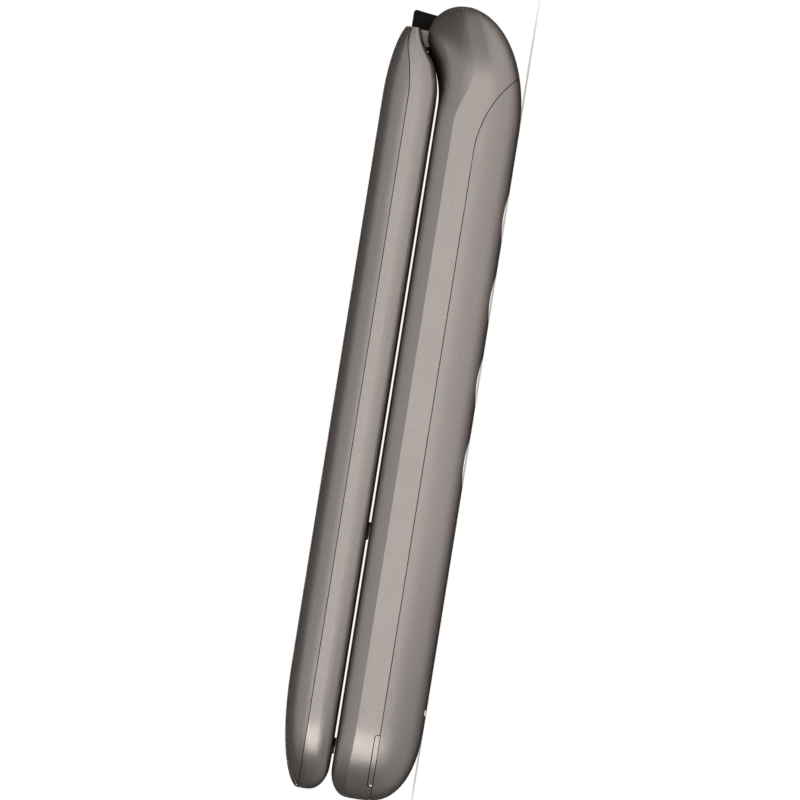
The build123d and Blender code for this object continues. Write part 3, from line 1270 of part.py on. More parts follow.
with BuildPart() as main_display:
    slab(
        (0, WINDOW_CENTRE), DISPLAY_WIDTH, DISPLAY_LENGTH, 1.0, DISPLAY_BOTTOM, DISPLAY_TOP
    )
main_display.part.label = "main_display"
export_step(main_display.part, "parts/main_display.step")

with BuildPart() as outer_display_window:
    slab(
        (0, OUTER_WINDOW_CENTRE), OUTER_WINDOW_WIDTH, OUTER_WINDOW_LENGTH, WINDOW_CORNER,
        LID_TOP - KEY_SINK - WINDOW_THICKNESS, LID_TOP - KEY_SINK,
    )
outer_display_window.part.label = "outer_display_window"
export_step(outer_display_window.part, "parts/outer_display_window.step")

with BuildPart() as outer_display:
    slab(
        (0, OUTER_VIEW_CENTRE), OUTER_DISPLAY_WIDTH, OUTER_DISPLAY_LENGTH, 1.0,
        LID_BOARD_TOP + 0.1, LID_CEILING - 0.1,
    )
outer_display.part.label = "outer_display"
export_step(outer_display.part, "parts/outer_display.step")

with BuildPart() as lid_board:
    board_low = LID_CAVITY_FOOT_Y + 8.0
    board_high = LID_CAVITY_HEAD_Y - 1.5
    slab(
        (0, (board_low + board_high) / 2), WIDTH - 8.4, board_high - board_low, 3.0,
        LID_BOARD_BOTTOM, LID_BOARD_TOP,
    )
lid_board.part.label = "lid_board"
export_step(lid_board.part, "parts/lid_board.step")

with BuildPart() as camera_module:
    slab((0, LENS_CENTRE), 7.0, 7.0, 0.6, LID_BOARD_TOP, LID_CEILING - 0.1)
    disc((0, LENS_CENTRE), LENS_RADIUS, LID_CEILING - 0.1, LID_TOP - WINDOW_SEAT - 0.05)
camera_module.part.label = "camera_module"
export_step(camera_module.part, "parts/camera_module.step")

with BuildPart() as earpiece:
    slab((0, EARPIECE_CENTRE), EARPIECE_LENGTH, EARPIECE_WIDTH, 2.0, LID_FLOOR, DISPLAY_TOP)
earpiece.part.label = "earpiece"
export_step(earpiece.part, "parts/earpiece.step")

with BuildPart() as lid_magnet:
    magnet_high = WINDOW_CENTRE - WINDOW_LENGTH / 2 - 1
    block(
        (DISPLAY_WIDTH / 2 - MAGNET_SIZE, magnet_high - MAGNET_SIZE, LID_FLOOR),
        (DISPLAY_WIDTH / 2, magnet_high, DISPLAY_TOP),
    )
lid_magnet.part.label = "lid_magnet"
export_step(lid_magnet.part, "parts/lid_magnet.step")

with BuildPart() as bumpers:
    for y, length in BUMPER_PLACES:
        for side in (-1, 1):
            slab(
                (side * (WIDTH / 2 - BUMPER_INSET), y), BUMPER_WIDTH - 2 * SEAT_FIT,
                length - 2 * SEAT_FIT, 0.45,
                BASE_THICKNESS + BUMPER_REST_GAP, LID_BOTTOM + BUMPER_DEPTH,
            )
bumpers.part.label = "bumpers"
export_step(bumpers.part, "parts/bumpers.step")
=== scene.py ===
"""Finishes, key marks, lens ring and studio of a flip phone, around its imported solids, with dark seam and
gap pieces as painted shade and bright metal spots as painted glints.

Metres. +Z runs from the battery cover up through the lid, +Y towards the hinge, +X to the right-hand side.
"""

import json
import math

import bmesh
import bpy
from mathutils import Matrix, Vector

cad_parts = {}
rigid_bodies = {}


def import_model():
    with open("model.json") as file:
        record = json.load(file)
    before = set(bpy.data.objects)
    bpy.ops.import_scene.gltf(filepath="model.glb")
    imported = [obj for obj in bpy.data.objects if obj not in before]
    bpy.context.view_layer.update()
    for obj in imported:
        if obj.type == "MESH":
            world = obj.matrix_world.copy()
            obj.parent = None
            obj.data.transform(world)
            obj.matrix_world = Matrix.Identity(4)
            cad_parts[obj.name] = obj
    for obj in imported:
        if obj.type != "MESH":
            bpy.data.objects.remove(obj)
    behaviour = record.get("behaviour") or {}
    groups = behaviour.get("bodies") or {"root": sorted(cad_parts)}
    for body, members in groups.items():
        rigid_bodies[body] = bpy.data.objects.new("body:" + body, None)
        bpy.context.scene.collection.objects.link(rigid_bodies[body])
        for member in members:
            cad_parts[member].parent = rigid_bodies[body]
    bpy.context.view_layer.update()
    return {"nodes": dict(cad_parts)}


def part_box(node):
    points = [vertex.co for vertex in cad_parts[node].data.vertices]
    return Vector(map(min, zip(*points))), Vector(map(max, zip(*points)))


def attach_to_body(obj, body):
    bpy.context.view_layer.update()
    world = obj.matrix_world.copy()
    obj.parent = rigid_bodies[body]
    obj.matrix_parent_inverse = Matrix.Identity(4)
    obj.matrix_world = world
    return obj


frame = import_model()
NODES = frame["nodes"]

bl_info = {
    "name": "Flip phone finishes",
    "version": (1, 0, 0),
    "blender": (4, 5, 0),
    "location": "3D View > Sidebar > Flip phone",
    "description": "Paints a flip phone's parts, adds its key marks and small trim, and sets up a studio",
    "category": "Object",
}

MM = 0.001
WHITE = (1.0, 1.0, 1.0)
BLACK = (0.0, 0.0, 0.0)
SIDES = (("right", 1), ("left", -1))
DIGITS = ("1", "2", "3", "4", "5", "6", "7", "8", "9", "star", "0", "hash")
CALL_KEYS = ("key_send", "key_clear", "key_end")
SOFT_KEYS = ("soft_key_left", "soft_key_right", "side_key_left", "side_key_right")
MERGE_DISTANCE = 0.001 * MM
# How far a cutter reaches past the two faces that it opens.
CUTTER_REACH = 1.0 * MM
# A text's size setting for each metre of a digit's height.
TEXT_SIZE_PER_HEIGHT = 1.38
STAR_GROWTH = 1.35
# Width of the grey metal rim round each screen.
SCREEN_RIM = 1.2 * MM
# Black print behind the windows: its distance from them, its thickness and its outer and inner corners.
PRINT_GAP = 0.005 * MM
PRINT_THICKNESS = 0.03 * MM
PRINT_CORNER = 2.4 * MM
PRINT_OPENING_CORNER = 0.6 * MM

# Metals: colour, darker colour, roughness, and how fine the grain is along X, Y and Z, per metre.
METALS = {
    "ground_steel": ((0.50, 0.50, 0.51), (0.38, 0.38, 0.39), 0.28, (9000, 900, 900)),
    # Painted highlight: pale metal for the bright spots at the cover's notches and tongue.
    "catch_metal": ((0.86, 0.86, 0.85), (0.74, 0.74, 0.73), 0.42, (900, 9000, 900)),
    "stamped_steel": ((0.62, 0.62, 0.61), (0.50, 0.50, 0.49), 0.32, (1500, 5000, 1500)),
    "lens_ring_metal": ((0.42, 0.41, 0.40), (0.30, 0.29, 0.28), 0.25, (4000, 4000, 900)),
    "contact_gold": ((0.83, 0.62, 0.26), (0.70, 0.50, 0.20), 0.24, (3000, 3000, 900)),
    "nickel_plate": ((0.58, 0.58, 0.57), (0.46, 0.46, 0.45), 0.22, (2500, 2500, 700)),
    "black_steel": ((0.10, 0.10, 0.10), (0.06, 0.06, 0.06), 0.36, (4000, 4000, 900)),
}

# Plastics: colour, lighter colour, roughness, and the size and depth of the grain.
PLASTICS = {
    "cable_film": ((0.36, 0.13, 0.02), (0.50, 0.22, 0.05), 0.25, 0.4 * MM, 0.004 * MM),
    "latch_plastic": ((0.060, 0.055, 0.050), (0.12, 0.11, 0.10), 0.45, 0.12 * MM, 0.01 * MM),
    "frame_plastic": ((0.016, 0.016, 0.018), (0.036, 0.036, 0.040), 0.55, 0.18 * MM, 0.012 * MM),
    "socket_plastic": ((0.008, 0.008, 0.008), (0.022, 0.022, 0.022), 0.4, 0.15 * MM, 0.006 * MM),
}

# Rubbers: colour and lighter colour.
RUBBERS = {
    "bumper_rubber": ((0.012, 0.011, 0.010), (0.022, 0.021, 0.020)),
    # Painted shade: black of the bands that line the seams, where there is only shade.
    "gasket_rubber": ((0.010, 0.009, 0.008), (0.020, 0.019, 0.018)),
    # Painted shade: black of the strip that closes the gap at the hinge.
    "dust_strip_rubber": ((0.010, 0.009, 0.008), (0.020, 0.019, 0.018)),
    "keypad_rubber": ((0.34, 0.34, 0.36), (0.44, 0.44, 0.46)),
}

# Bars of the marks: half the length along X, half the length along Y, and the corner's radius.
HANDSET_GRIP = (2.0 * MM, 0.325 * MM, 0.25 * MM)
HANDSET_END = (0.55 * MM, 0.70 * MM, 0.3 * MM)
ARROW_SHAFT = (1.4 * MM, 0.22 * MM, 0.1 * MM)
SOFT_BAR = (1.6 * MM, 0.28 * MM, 0.2 * MM)
SQUARE = (1.0 * MM, 1.0 * MM, 0.3 * MM)
SQUARE_HOLE = (0.6 * MM, 0.6 * MM, 0.1 * MM)


# ---------------------------------------------------------------- sizes and colours
def number_property(name, description, default, lowest=0.0, **words):
    """Number setting with the words that the panel shows."""
    words |= {"name": name, "description": description}
    return bpy.props.FloatProperty(default=default, min=lowest, **words)


def length_property(name, description, default, lowest):
    """Length setting, in metres."""
    return number_property(name, description, default, lowest, subtype="DISTANCE", unit="LENGTH")


def colour_property(name, description, default):
    """Colour setting with the words that the panel shows."""
    return bpy.props.FloatVectorProperty(
        name=name, description=description, default=default, min=0.0, max=1.0, size=3, subtype="COLOR"
    )


class FlipPhoneSizes(bpy.types.PropertyGroup):
    """Sizes of the marks and of the studio."""

    digit_height: length_property("Digit height", "Height of a digit on its key", 3.3 * MM, 0.5 * MM)
    mark_thickness: length_property(
        "Mark thickness", "Thickness of a printed mark, half of it above its key", 0.03 * MM, 0.005 * MM
    )
    flake_size: length_property("Flake size", "Size of the metal flakes in the paint", 0.11 * MM, 0.01 * MM)
    lens_opening: length_property(
        "Lens opening", "Radius of the round opening over the camera", 2.1 * MM, 0.5 * MM
    )
    # Painted shade: how far the dark seam bands stay back inside the seams.
    gasket_recess: length_property(
        "Gasket recess", "How far the dark seam bands stay back inside the seams", 0.15 * MM, 0.05 * MM
    )
    camera_distance: length_property(
        "Camera distance", "Distance from the phone's side to the camera", 2.138, 0.1
    )
    camera_lens: number_property(
        "Lens", "Focal length of the camera", 800.0, 50.0, subtype="DISTANCE_CAMERA"
    )
    camera_lean: bpy.props.FloatProperty(
        name="Lean", description="How far the phone leans in the picture",
        default=math.radians(9.09), subtype="ANGLE", unit="ROTATION",
    )
    floor_size: length_property("Floor size", "Side of the floor", 8.0, 0.5)
    floor_glow: number_property("Floor glow", "Light that the floor adds where it is seen", 0.40, max=1.0)
    foot_dimming: number_property(
        "Foot dimming", "How much darker the floor past the phone's foot is in reflections", 0.85, max=1.0
    )
    wide_strength: number_property("Wide lamp", "Strength of the broad lamp over the phone", 1.6)
    foot_power: number_property(
        "Foot lamp", "Power of the small lamp towards the phone's foot", 1.0, unit="POWER"
    )
    soft_level: number_property("Soft level", "Level of the soft light from all round", 0.52)
    room_level: number_property("Room level", "Brightness of the room in reflections", 0.17, max=1.0)
    wall_level: number_property(
        "Wall level", "Brightness that the wall before the phone adds in reflections", 0.45
    )
    strip_level: number_property("Strip level", "Brightness of the strip of light in reflections", 1.3)


class FlipPhoneColours(bpy.types.PropertyGroup):
    """Colours of the finishes."""

    paint: colour_property("Paint", "Warm grey metallic paint of the shells", (0.400, 0.360, 0.336))
    paint_shade: colour_property("Paint shade", "Darker cast of the metallic paint", (0.352, 0.316, 0.294))
    paint_rim: colour_property("Paint rim", "Tint of the paint where it turns away", (0.02, 0.02, 0.02))
    hinge: colour_property("Hinge", "Black of the hinge's centre block", (0.0045, 0.0034, 0.0024))
    key: colour_property("Key", "Black of the keys", (0.016, 0.016, 0.018))
    mark: colour_property("Mark", "White of the key marks", (0.78, 0.79, 0.80))
    send: colour_property("Send mark", "Green of the send key's mark", (0.03, 0.36, 0.08))
    end: colour_property("End mark", "Red of the end key's mark", (0.50, 0.03, 0.02))
    screen: colour_property("Screen", "Dark blue-grey of the resting screen", (0.014, 0.018, 0.024))
    border: colour_property("Window border", "Black printed round the screens", (0.006, 0.006, 0.007))
    floor: colour_property("Floor", "Pale floor", (0.62, 0.62, 0.62))


def sizes():
    """The scene's sizes."""
    return bpy.context.scene.flip_phone_sizes


def colours():
    """The scene's colours."""
    return bpy.context.scene.flip_phone_colours


def rgba(colour):
    """Colour with full cover."""
    return (*colour[:3], 1.0)


def shaded(colour, factor):
    """Colour made lighter or darker."""
    return [min(1.0, part * factor) for part in colour]


# ---------------------------------------------------------------- node helpers
def attach(tree, socket, value):
    """Links an input to another node's output, or sets it to a plain value."""
    if isinstance(value, bpy.types.NodeSocket):
        tree.links.new(value, socket)
    elif socket.type == "RGBA":
        socket.default_value = rgba(value)
    else:
        socket.default_value = value


def feed(tree, target, **values):
    """Attaches values to a node's inputs by name, with _ for a space."""
    for key, value in values.items():
        attach(tree, target.inputs[key.replace("_", " ")], value)
    return target


def node(tree, kind, *fed, **settings):
    """New shader node with its settings, and its first inputs fed in order."""
    made = tree.nodes.new(kind)
    for key, value in settings.items():
        setattr(made, key, value)
    for socket, value in zip(made.inputs, fed):
        attach(tree, socket, value)
    return made


def math_node(tree, operation, first, *others):
    """Result of an operation on sockets and numbers, carried on along a longer list."""
    if not others:
        return node(tree, "ShaderNodeMath", first, operation=operation).outputs[0]
    for other in others:
        first = node(tree, "ShaderNodeMath", first, other, operation=operation).outputs[0]
    return first


def multiply(tree, *values):
    """Product of sockets and numbers."""
    return math_node(tree, "MULTIPLY", *values)


def add(tree, *values):
    """Sum of sockets and numbers."""
    return math_node(tree, "ADD", *values)


def vector_node(tree, operation, *vectors):
    """Node of a vector operation."""
    return node(tree, "ShaderNodeVectorMath", *vectors, operation=operation)


def map_range(tree, value, low, high, new_low=0.0, new_high=1.0):
    """Stretches a value from one range to another, and holds it there."""
    made = node(tree, "ShaderNodeMapRange")
    feed(tree, made, Value=value, From_Min=low, From_Max=high, To_Min=new_low, To_Max=new_high)
    return made.outputs["Result"]


def between(tree, mask, low, high):
    """Number that goes from low to high as a mask goes from 0 to 1."""
    return map_range(tree, mask, 0.0, 1.0, low, high)


def mix_colour(tree, factor, first, second, blend="MIX"):
    """Mix of two colours, each a socket or a plain colour."""
    made = node(tree, "ShaderNodeMix", factor, data_type="RGBA", blend_type=blend)
    attach(tree, made.inputs[6], first)
    attach(tree, made.inputs[7], second)
    return made.outputs[2]


def middle_of(part):
    """Middle of a CAD node's box."""
    low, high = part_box(part)
    return (low + high) / 2


def object_place(tree, part=None):
    """Place on the piece, with X and Y counted from the middle of a CAD node where one is named."""
    place = node(tree, "ShaderNodeTexCoord").outputs["Object"]
    if part is None:
        return place
    middle = middle_of(part)
    mapping = node(tree, "ShaderNodeMapping")
    feed(tree, mapping, Vector=place, Location=(-middle.x, -middle.y, 0.0))
    return mapping.outputs[0]


def split_axes(tree, place):
    """The X, Y and Z of a place or a direction."""
    return node(tree, "ShaderNodeSeparateXYZ", place).outputs


def side_masks(tree, place, half_x, half_y, fade):
    """Masks along X and Y, each going from 0 to 1 over a short way at a distance from the middle."""
    axes = split_axes(tree, place)
    masks = []
    for axis, half in (("X", half_x), ("Y", half_y)):
        masks.append(map_range(tree, math_node(tree, "ABSOLUTE", axes[axis]), half, half + fade))
    return masks


def per_size(tree, size):
    """Scale of a texture whose features have a size."""
    return 1.0 / size if isinstance(size, float) else math_node(tree, "DIVIDE", 1.0, size)


def noise(tree, place, size, **values):
    """Cloudy noise whose features have a size."""
    made = node(tree, "ShaderNodeTexNoise")
    feed(tree, made, Vector=place, Scale=per_size(tree, size), **values)
    return made.outputs["Fac"]


def bump(tree, height, distance, normal=None):
    """Normal of a relief, distance metres high where the height is 1."""
    made = feed(tree, node(tree, "ShaderNodeBump"), Strength=1.0, Distance=distance, Height=height)
    if normal is not None:
        feed(tree, made, Normal=normal)
    return made.outputs[0]


# ---------------------------------------------------------------- shared effects
def new_group(name, outputs, **inputs):
    """Shader node group with number inputs and their defaults. An output called Normal is a vector."""
    group = bpy.data.node_groups.new(name, "ShaderNodeTree")
    for key, value in inputs.items():
        made = group.interface.new_socket(
            key.replace("_", " "), in_out="INPUT", socket_type="NodeSocketFloat"
        )
        made.default_value = value
    for key in outputs:
        kind = "NodeSocketVector" if key == "Normal" else "NodeSocketFloat"
        group.interface.new_socket(key, in_out="OUTPUT", socket_type=kind)
    return group, node(group, "NodeGroupInput").outputs, node(group, "NodeGroupOutput")


def grain_group():
    """Fine grain: a mask that changes from speck to speck, and slow cloudy variation."""
    group, given, put = new_group("fine grain", ("Grain", "Cloud"), Size=0.1 * MM, Cloud_Size=12 * MM)
    place = object_place(group)
    grain = noise(group, place, given["Size"], Detail=2.0, Roughness=0.55)
    cloud = noise(group, place, given["Cloud Size"], Detail=3.0, Roughness=0.55)
    feed(group, put, Grain=grain, Cloud=cloud)
    return group


def flake_group():
    """Metal flakes: small cells, each with its own brightness and a slightly tilted normal."""
    group, given, put = new_group("paint flakes", ("Sparkle", "Normal"), Size=0.1 * MM, Tilt=0.06)
    cells = node(group, "ShaderNodeTexVoronoi", feature="F1")
    feed(group, cells, Vector=object_place(group), Scale=per_size(group, given["Size"]))
    own = cells.outputs["Color"]
    centred = vector_node(group, "SUBTRACT", own, (0.5, 0.5, 0.5)).outputs[0]
    tilt = feed(group, vector_node(group, "SCALE", centred), Scale=given["Tilt"]).outputs[0]
    surface = node(group, "ShaderNodeNewGeometry").outputs["Normal"]
    tilted = vector_node(group, "ADD", tilt, surface).outputs[0]
    sparkle = node(group, "ShaderNodeSeparateColor", own).outputs[0]
    feed(group, put, Sparkle=sparkle, Normal=vector_node(group, "NORMALIZE", tilted).outputs[0])
    return group


def wear_group():
    """Edge wear: a mask that is 1 along rubbed edges and 0 elsewhere."""
    group, given, put = new_group(
        "edge wear", ("Mask",), Radius=0.12 * MM, Patch_Size=1.5 * MM, Amount=0.5
    )
    rounded = feed(group, node(group, "ShaderNodeBevel", samples=3), Radius=given["Radius"]).outputs[0]
    surface = node(group, "ShaderNodeNewGeometry").outputs["Normal"]
    alike = vector_node(group, "DOT_PRODUCT", rounded, surface).outputs["Value"]
    edge = map_range(group, alike, 0.985, 0.86)
    patches = noise(group, object_place(group), given["Patch Size"], Detail=4.0, Roughness=0.65)
    feed(group, put, Mask=multiply(group, edge, map_range(group, patches, 0.42, 0.62), given["Amount"]))
    return group


def dust_group():
    """Dust and finger haze: a soft mask for roughness and a light cast."""
    group, given, put = new_group(
        "dust and haze", ("Haze", "Specks"), Smear_Size=9 * MM, Speck_Size=0.25 * MM
    )
    place = object_place(group)
    smear = noise(group, place, given["Smear Size"], Detail=5.0, Roughness=0.6, Distortion=0.7)
    specks = noise(group, place, given["Speck Size"], Detail=1.0)
    feed(group, put, Haze=map_range(group, smear, 0.4, 0.7), Specks=map_range(group, specks, 0.74, 0.80))
    return group


def painted_groove_shade_group():
    """Painted groove shade: 1 on open faces, falling to 0 in the depths of seams and grooves, where shade
    falls.
    """
    group, given, put = new_group("groove shade", ("Open",), Reach=0.25 * MM)
    around = node(group, "ShaderNodeAmbientOcclusion", samples=6, only_local=True)
    feed(group, around, Distance=given["Reach"])
    feed(group, put, Open=map_range(group, around.outputs["AO"], 0.30, 0.80))
    return group


GROUP_MAKERS = {
    "groove shade": painted_groove_shade_group,
    "fine grain": grain_group,
    "paint flakes": flake_group,
    "edge wear": wear_group,
    "dust and haze": dust_group,
}


def effect(tree, name, **values):
    """Outputs of a shared effect, placed in a material with its own values."""
    group = bpy.data.node_groups.get(name) or GROUP_MAKERS[name]()
    return feed(tree, node(tree, "ShaderNodeGroup", node_tree=group), **values).outputs


# ---------------------------------------------------------------- finishes
def empty_tree(owner):
    """Node tree of a material or a world, with nothing in it."""
    owner.use_nodes = True
    owner.node_tree.nodes.clear()
    return owner.node_tree


def new_material(name):
    """Material with its tree, its Principled shader and its output."""
    made = bpy.data.materials.new(name)
    tree = empty_tree(made)
    shader = node(tree, "ShaderNodeBsdfPrincipled")
    feed(tree, node(tree, "ShaderNodeOutputMaterial"), Surface=shader.outputs[0])
    return made, tree, shader


def metallic_paint(name):
    """Satin metallic paint: fine flakes lying flat, painted shade in grooves, rubbed lighter along edges.
    """
    made, tree, shader = new_material(name)
    colour = colours()
    flakes = effect(tree, "paint flakes", Size=sizes().flake_size, Tilt=0.035)
    grain = effect(tree, "fine grain", Size=0.30 * MM, Cloud_Size=22 * MM)
    dust = effect(tree, "dust and haze")
    wear = effect(tree, "edge wear", Amount=0.12)
    # Painted shade: the paint turns nearly black in the depths of seams and grooves.
    groove = effect(tree, "groove shade")
    cast = add(tree, multiply(tree, flakes["Sparkle"], 0.85), multiply(tree, grain["Cloud"], 0.15))
    base = mix_colour(tree, cast, colour.paint_shade, colour.paint)
    base = mix_colour(tree, wear["Mask"], base, shaded(colour.paint, 1.35))
    base = mix_colour(tree, multiply(tree, dust["Specks"], 0.10), base, (0.55, 0.54, 0.52))
    feed(
        tree, shader,
        Base_Color=mix_colour(tree, groove["Open"], (0.02, 0.018, 0.016), base),
        Metallic=1.0,
        Roughness=between(tree, dust["Haze"], 0.36, 0.40),
        Specular_Tint=colour.paint_rim,
        Normal=bump(tree, grain["Grain"], 0.0008 * MM, flakes["Normal"]),
    )
    return made


def moulded_plastic(name, base, lighter, rough, grain_size, grain_depth, shine=0.5):
    """Moulded plastic with a fine spark-eroded grain; shine is the shader's specular level."""
    made, tree, shader = new_material(name)
    grain = effect(tree, "fine grain", Size=grain_size, Cloud_Size=8 * MM)
    dust = effect(tree, "dust and haze")
    wear = effect(tree, "edge wear", Amount=0.4)
    colour = mix_colour(tree, multiply(tree, grain["Cloud"], 0.35), base, lighter)
    colour = mix_colour(tree, wear["Mask"], colour, lighter)
    feed(
        tree, shader,
        Base_Color=mix_colour(tree, multiply(tree, dust["Specks"], 0.2), colour, (0.5, 0.5, 0.48)),
        Roughness=between(tree, dust["Haze"], rough, rough + 0.12),
        Specular_IOR_Level=shine,
        Normal=bump(tree, grain["Grain"], grain_depth),
    )
    return made


def worked_metal(name):
    """Metal with a brushed or rolled grain."""
    base, darker, rough, fineness = METALS[name]
    made, tree, shader = new_material(name)
    mapping = feed(tree, node(tree, "ShaderNodeMapping"), Vector=object_place(tree), Scale=fineness)
    lines = noise(tree, mapping.outputs[0], 1.0, Detail=4.0, Roughness=0.7)
    dust = effect(tree, "dust and haze", Smear_Size=3 * MM)
    wear = effect(tree, "edge wear", Amount=0.5)
    colour = mix_colour(tree, lines, darker, base)
    feed(
        tree, shader,
        Base_Color=mix_colour(tree, wear["Mask"], colour, shaded(base, 1.3)),
        Metallic=1.0,
        Roughness=between(tree, dust["Haze"], rough, rough + 0.12),
        Normal=bump(tree, lines, 0.004 * MM),
    )
    return made


def plain_plastic(name):
    """Moulded plastic of the list."""
    return moulded_plastic(name, *PLASTICS[name])


def circuit_board(name):
    """Green solder resist over copper tracks, with small tinned pads."""
    made, tree, shader = new_material(name)
    place = object_place(tree)
    bricks = node(tree, "ShaderNodeTexBrick", offset=0.37, squash=0.6, squash_frequency=3)
    feed(tree, bricks, Vector=place, Scale=per_size(tree, 2.6 * MM), Bias=0.0)
    feed(tree, bricks, Color1=BLACK, Color2=(0.25, 0.25, 0.25), Mortar=WHITE)
    feed(tree, bricks, Mortar_Size=0.06, Mortar_Smooth=0.1)
    tracks = bricks.outputs["Color"]
    cells = node(tree, "ShaderNodeTexVoronoi", feature="F1")
    feed(tree, cells, Vector=place, Scale=per_size(tree, 1.9 * MM))
    pads = map_range(tree, cells.outputs["Distance"], 0.20, 0.17)
    grain = effect(tree, "fine grain", Size=0.2 * MM, Cloud_Size=5 * MM)
    green = mix_colour(tree, grain["Cloud"], (0.006, 0.075, 0.028), (0.010, 0.120, 0.045))
    green = mix_colour(tree, tracks, green, (0.020, 0.190, 0.070))
    feed(
        tree, shader,
        Base_Color=mix_colour(tree, pads, green, (0.60, 0.58, 0.52)),
        Metallic=multiply(tree, pads, 0.9),
        Roughness=map_range(tree, grain["Grain"], 0.3, 0.7, 0.30, 0.42),
        Normal=bump(tree, tracks, 0.02 * MM),
    )
    return made


def battery_film(name):
    """Dark film wrapped round the cell, with a paler plain panel and a bright metal end."""
    made, tree, shader = new_material(name)
    low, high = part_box("battery")
    fade = 0.1 * MM
    panel_low, panel_high, panel_side = low.y + 9 * MM, high.y - 16 * MM, high.x - 4 * MM
    end_start = high.y - 2.2 * MM
    axes = split_axes(tree, object_place(tree))
    along = map_range(tree, axes["Y"], panel_low, panel_low + fade)
    before = map_range(tree, axes["Y"], panel_high, panel_high - fade)
    inside = map_range(tree, math_node(tree, "ABSOLUTE", axes["X"]), panel_side, panel_side - fade)
    end = map_range(tree, axes["Y"], end_start, end_start + fade)
    grain = effect(tree, "fine grain", Size=0.15 * MM, Cloud_Size=9 * MM)
    film = mix_colour(tree, grain["Cloud"], (0.020, 0.021, 0.024), (0.034, 0.035, 0.040))
    film = mix_colour(tree, multiply(tree, along, before, inside), film, (0.42, 0.43, 0.44))
    feed(
        tree, shader,
        Base_Color=mix_colour(tree, end, film, (0.66, 0.66, 0.67)),
        Metallic=end,
        Roughness=map_range(tree, grain["Grain"], 0.3, 0.7, 0.28, 0.40),
        Normal=bump(tree, grain["Grain"], 0.01 * MM),
    )
    return made


def dome_film(name):
    """Clear amber film with a bright steel dome at each key."""
    made, tree, shader = new_material(name)
    film_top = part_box("dome_sheet")[0].z + 0.105 * MM
    height = split_axes(tree, object_place(tree))["Z"]
    raised = map_range(tree, height, film_top, film_top + 0.01 * MM)
    grain = effect(tree, "fine grain", Size=0.2 * MM, Cloud_Size=7 * MM)
    film = mix_colour(tree, grain["Cloud"], (0.55, 0.50, 0.36), (0.62, 0.58, 0.44))
    feed(
        tree, shader,
        Base_Color=mix_colour(tree, raised, film, (0.72, 0.72, 0.72)),
        Metallic=raised,
        Roughness=map_range(tree, grain["Grain"], 0.3, 0.7, 0.22, 0.34),
        Normal=bump(tree, grain["Grain"], 0.004 * MM),
    )
    return made


def contact_card(name):
    """Pale card stock with a gold contact field in its middle."""
    made, tree, shader = new_material(name)
    place = object_place(tree, "sim_card")
    field = multiply(tree, *side_masks(tree, place, 6.0 * MM, 5.2 * MM, -0.05 * MM))
    contacts = node(tree, "ShaderNodeTexBrick", offset=0.0)
    feed(tree, contacts, Vector=place, Scale=per_size(tree, 8 * MM), Color1=WHITE, Color2=WHITE)
    feed(tree, contacts, Mortar=BLACK, Mortar_Size=0.025)
    gold = multiply(tree, field, contacts.outputs["Color"])
    grain = effect(tree, "fine grain", Size=0.2 * MM, Cloud_Size=6 * MM)
    stock = mix_colour(tree, grain["Cloud"], (0.66, 0.66, 0.64), (0.74, 0.74, 0.72))
    feed(
        tree, shader,
        Base_Color=mix_colour(tree, gold, stock, (0.83, 0.62, 0.28)),
        Metallic=gold,
        Roughness=map_range(tree, grain["Grain"], 0.3, 0.7, 0.35, 0.45),
        Normal=bump(tree, grain["Grain"], 0.006 * MM),
    )
    return made


def clear_window(name):
    """Clear hard-coated window with a trace of tint and light finger haze."""
    made, tree, shader = new_material(name)
    haze = effect(tree, "dust and haze", Smear_Size=14 * MM)["Haze"]
    feed(
        tree, shader,
        Base_Color=mix_colour(tree, haze, (0.90, 0.92, 0.93), (0.84, 0.86, 0.88)),
        Metallic=0.0,
        Roughness=between(tree, haze, 0.0, 0.012),
        IOR=1.45,
        Transmission_Weight=1.0,
    )
    return made


def screen_panel(name, part):
    """Resting colour screen: dark glass with a fine grid of dots inside a grey metal rim."""
    made, tree, shader = new_material(name)
    low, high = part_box(part)
    inner = (high - low) / 2 - Vector((SCREEN_RIM, SCREEN_RIM, 0.0))
    place = object_place(tree, part)
    rim = math_node(tree, "MAXIMUM", *side_masks(tree, place, inner.x, inner.y, 0.05 * MM))
    base = colours().screen
    dots = node(tree, "ShaderNodeTexBrick", offset=0.0)
    feed(tree, dots, Vector=place, Scale=per_size(tree, 0.24 * MM), Mortar_Size=0.06, Mortar_Smooth=0.5)
    feed(tree, dots, Color1=base, Color2=shaded(base, 1.03), Mortar=shaded(base, 0.85))
    cloud = effect(tree, "fine grain", Size=0.3 * MM, Cloud_Size=26 * MM)["Cloud"]
    lit = mix_colour(tree, cloud, BLACK, (0.006, 0.007, 0.009))
    glass = mix_colour(tree, 1.0, dots.outputs["Color"], lit, "ADD")
    feed(
        tree, shader,
        Base_Color=mix_colour(tree, rim, glass, (0.30, 0.30, 0.31)),
        Metallic=multiply(tree, rim, 0.9),
        Roughness=map_range(tree, cloud, 0.3, 0.7, 0.30, 0.36),
        Specular_IOR_Level=0.12,
    )
    return made


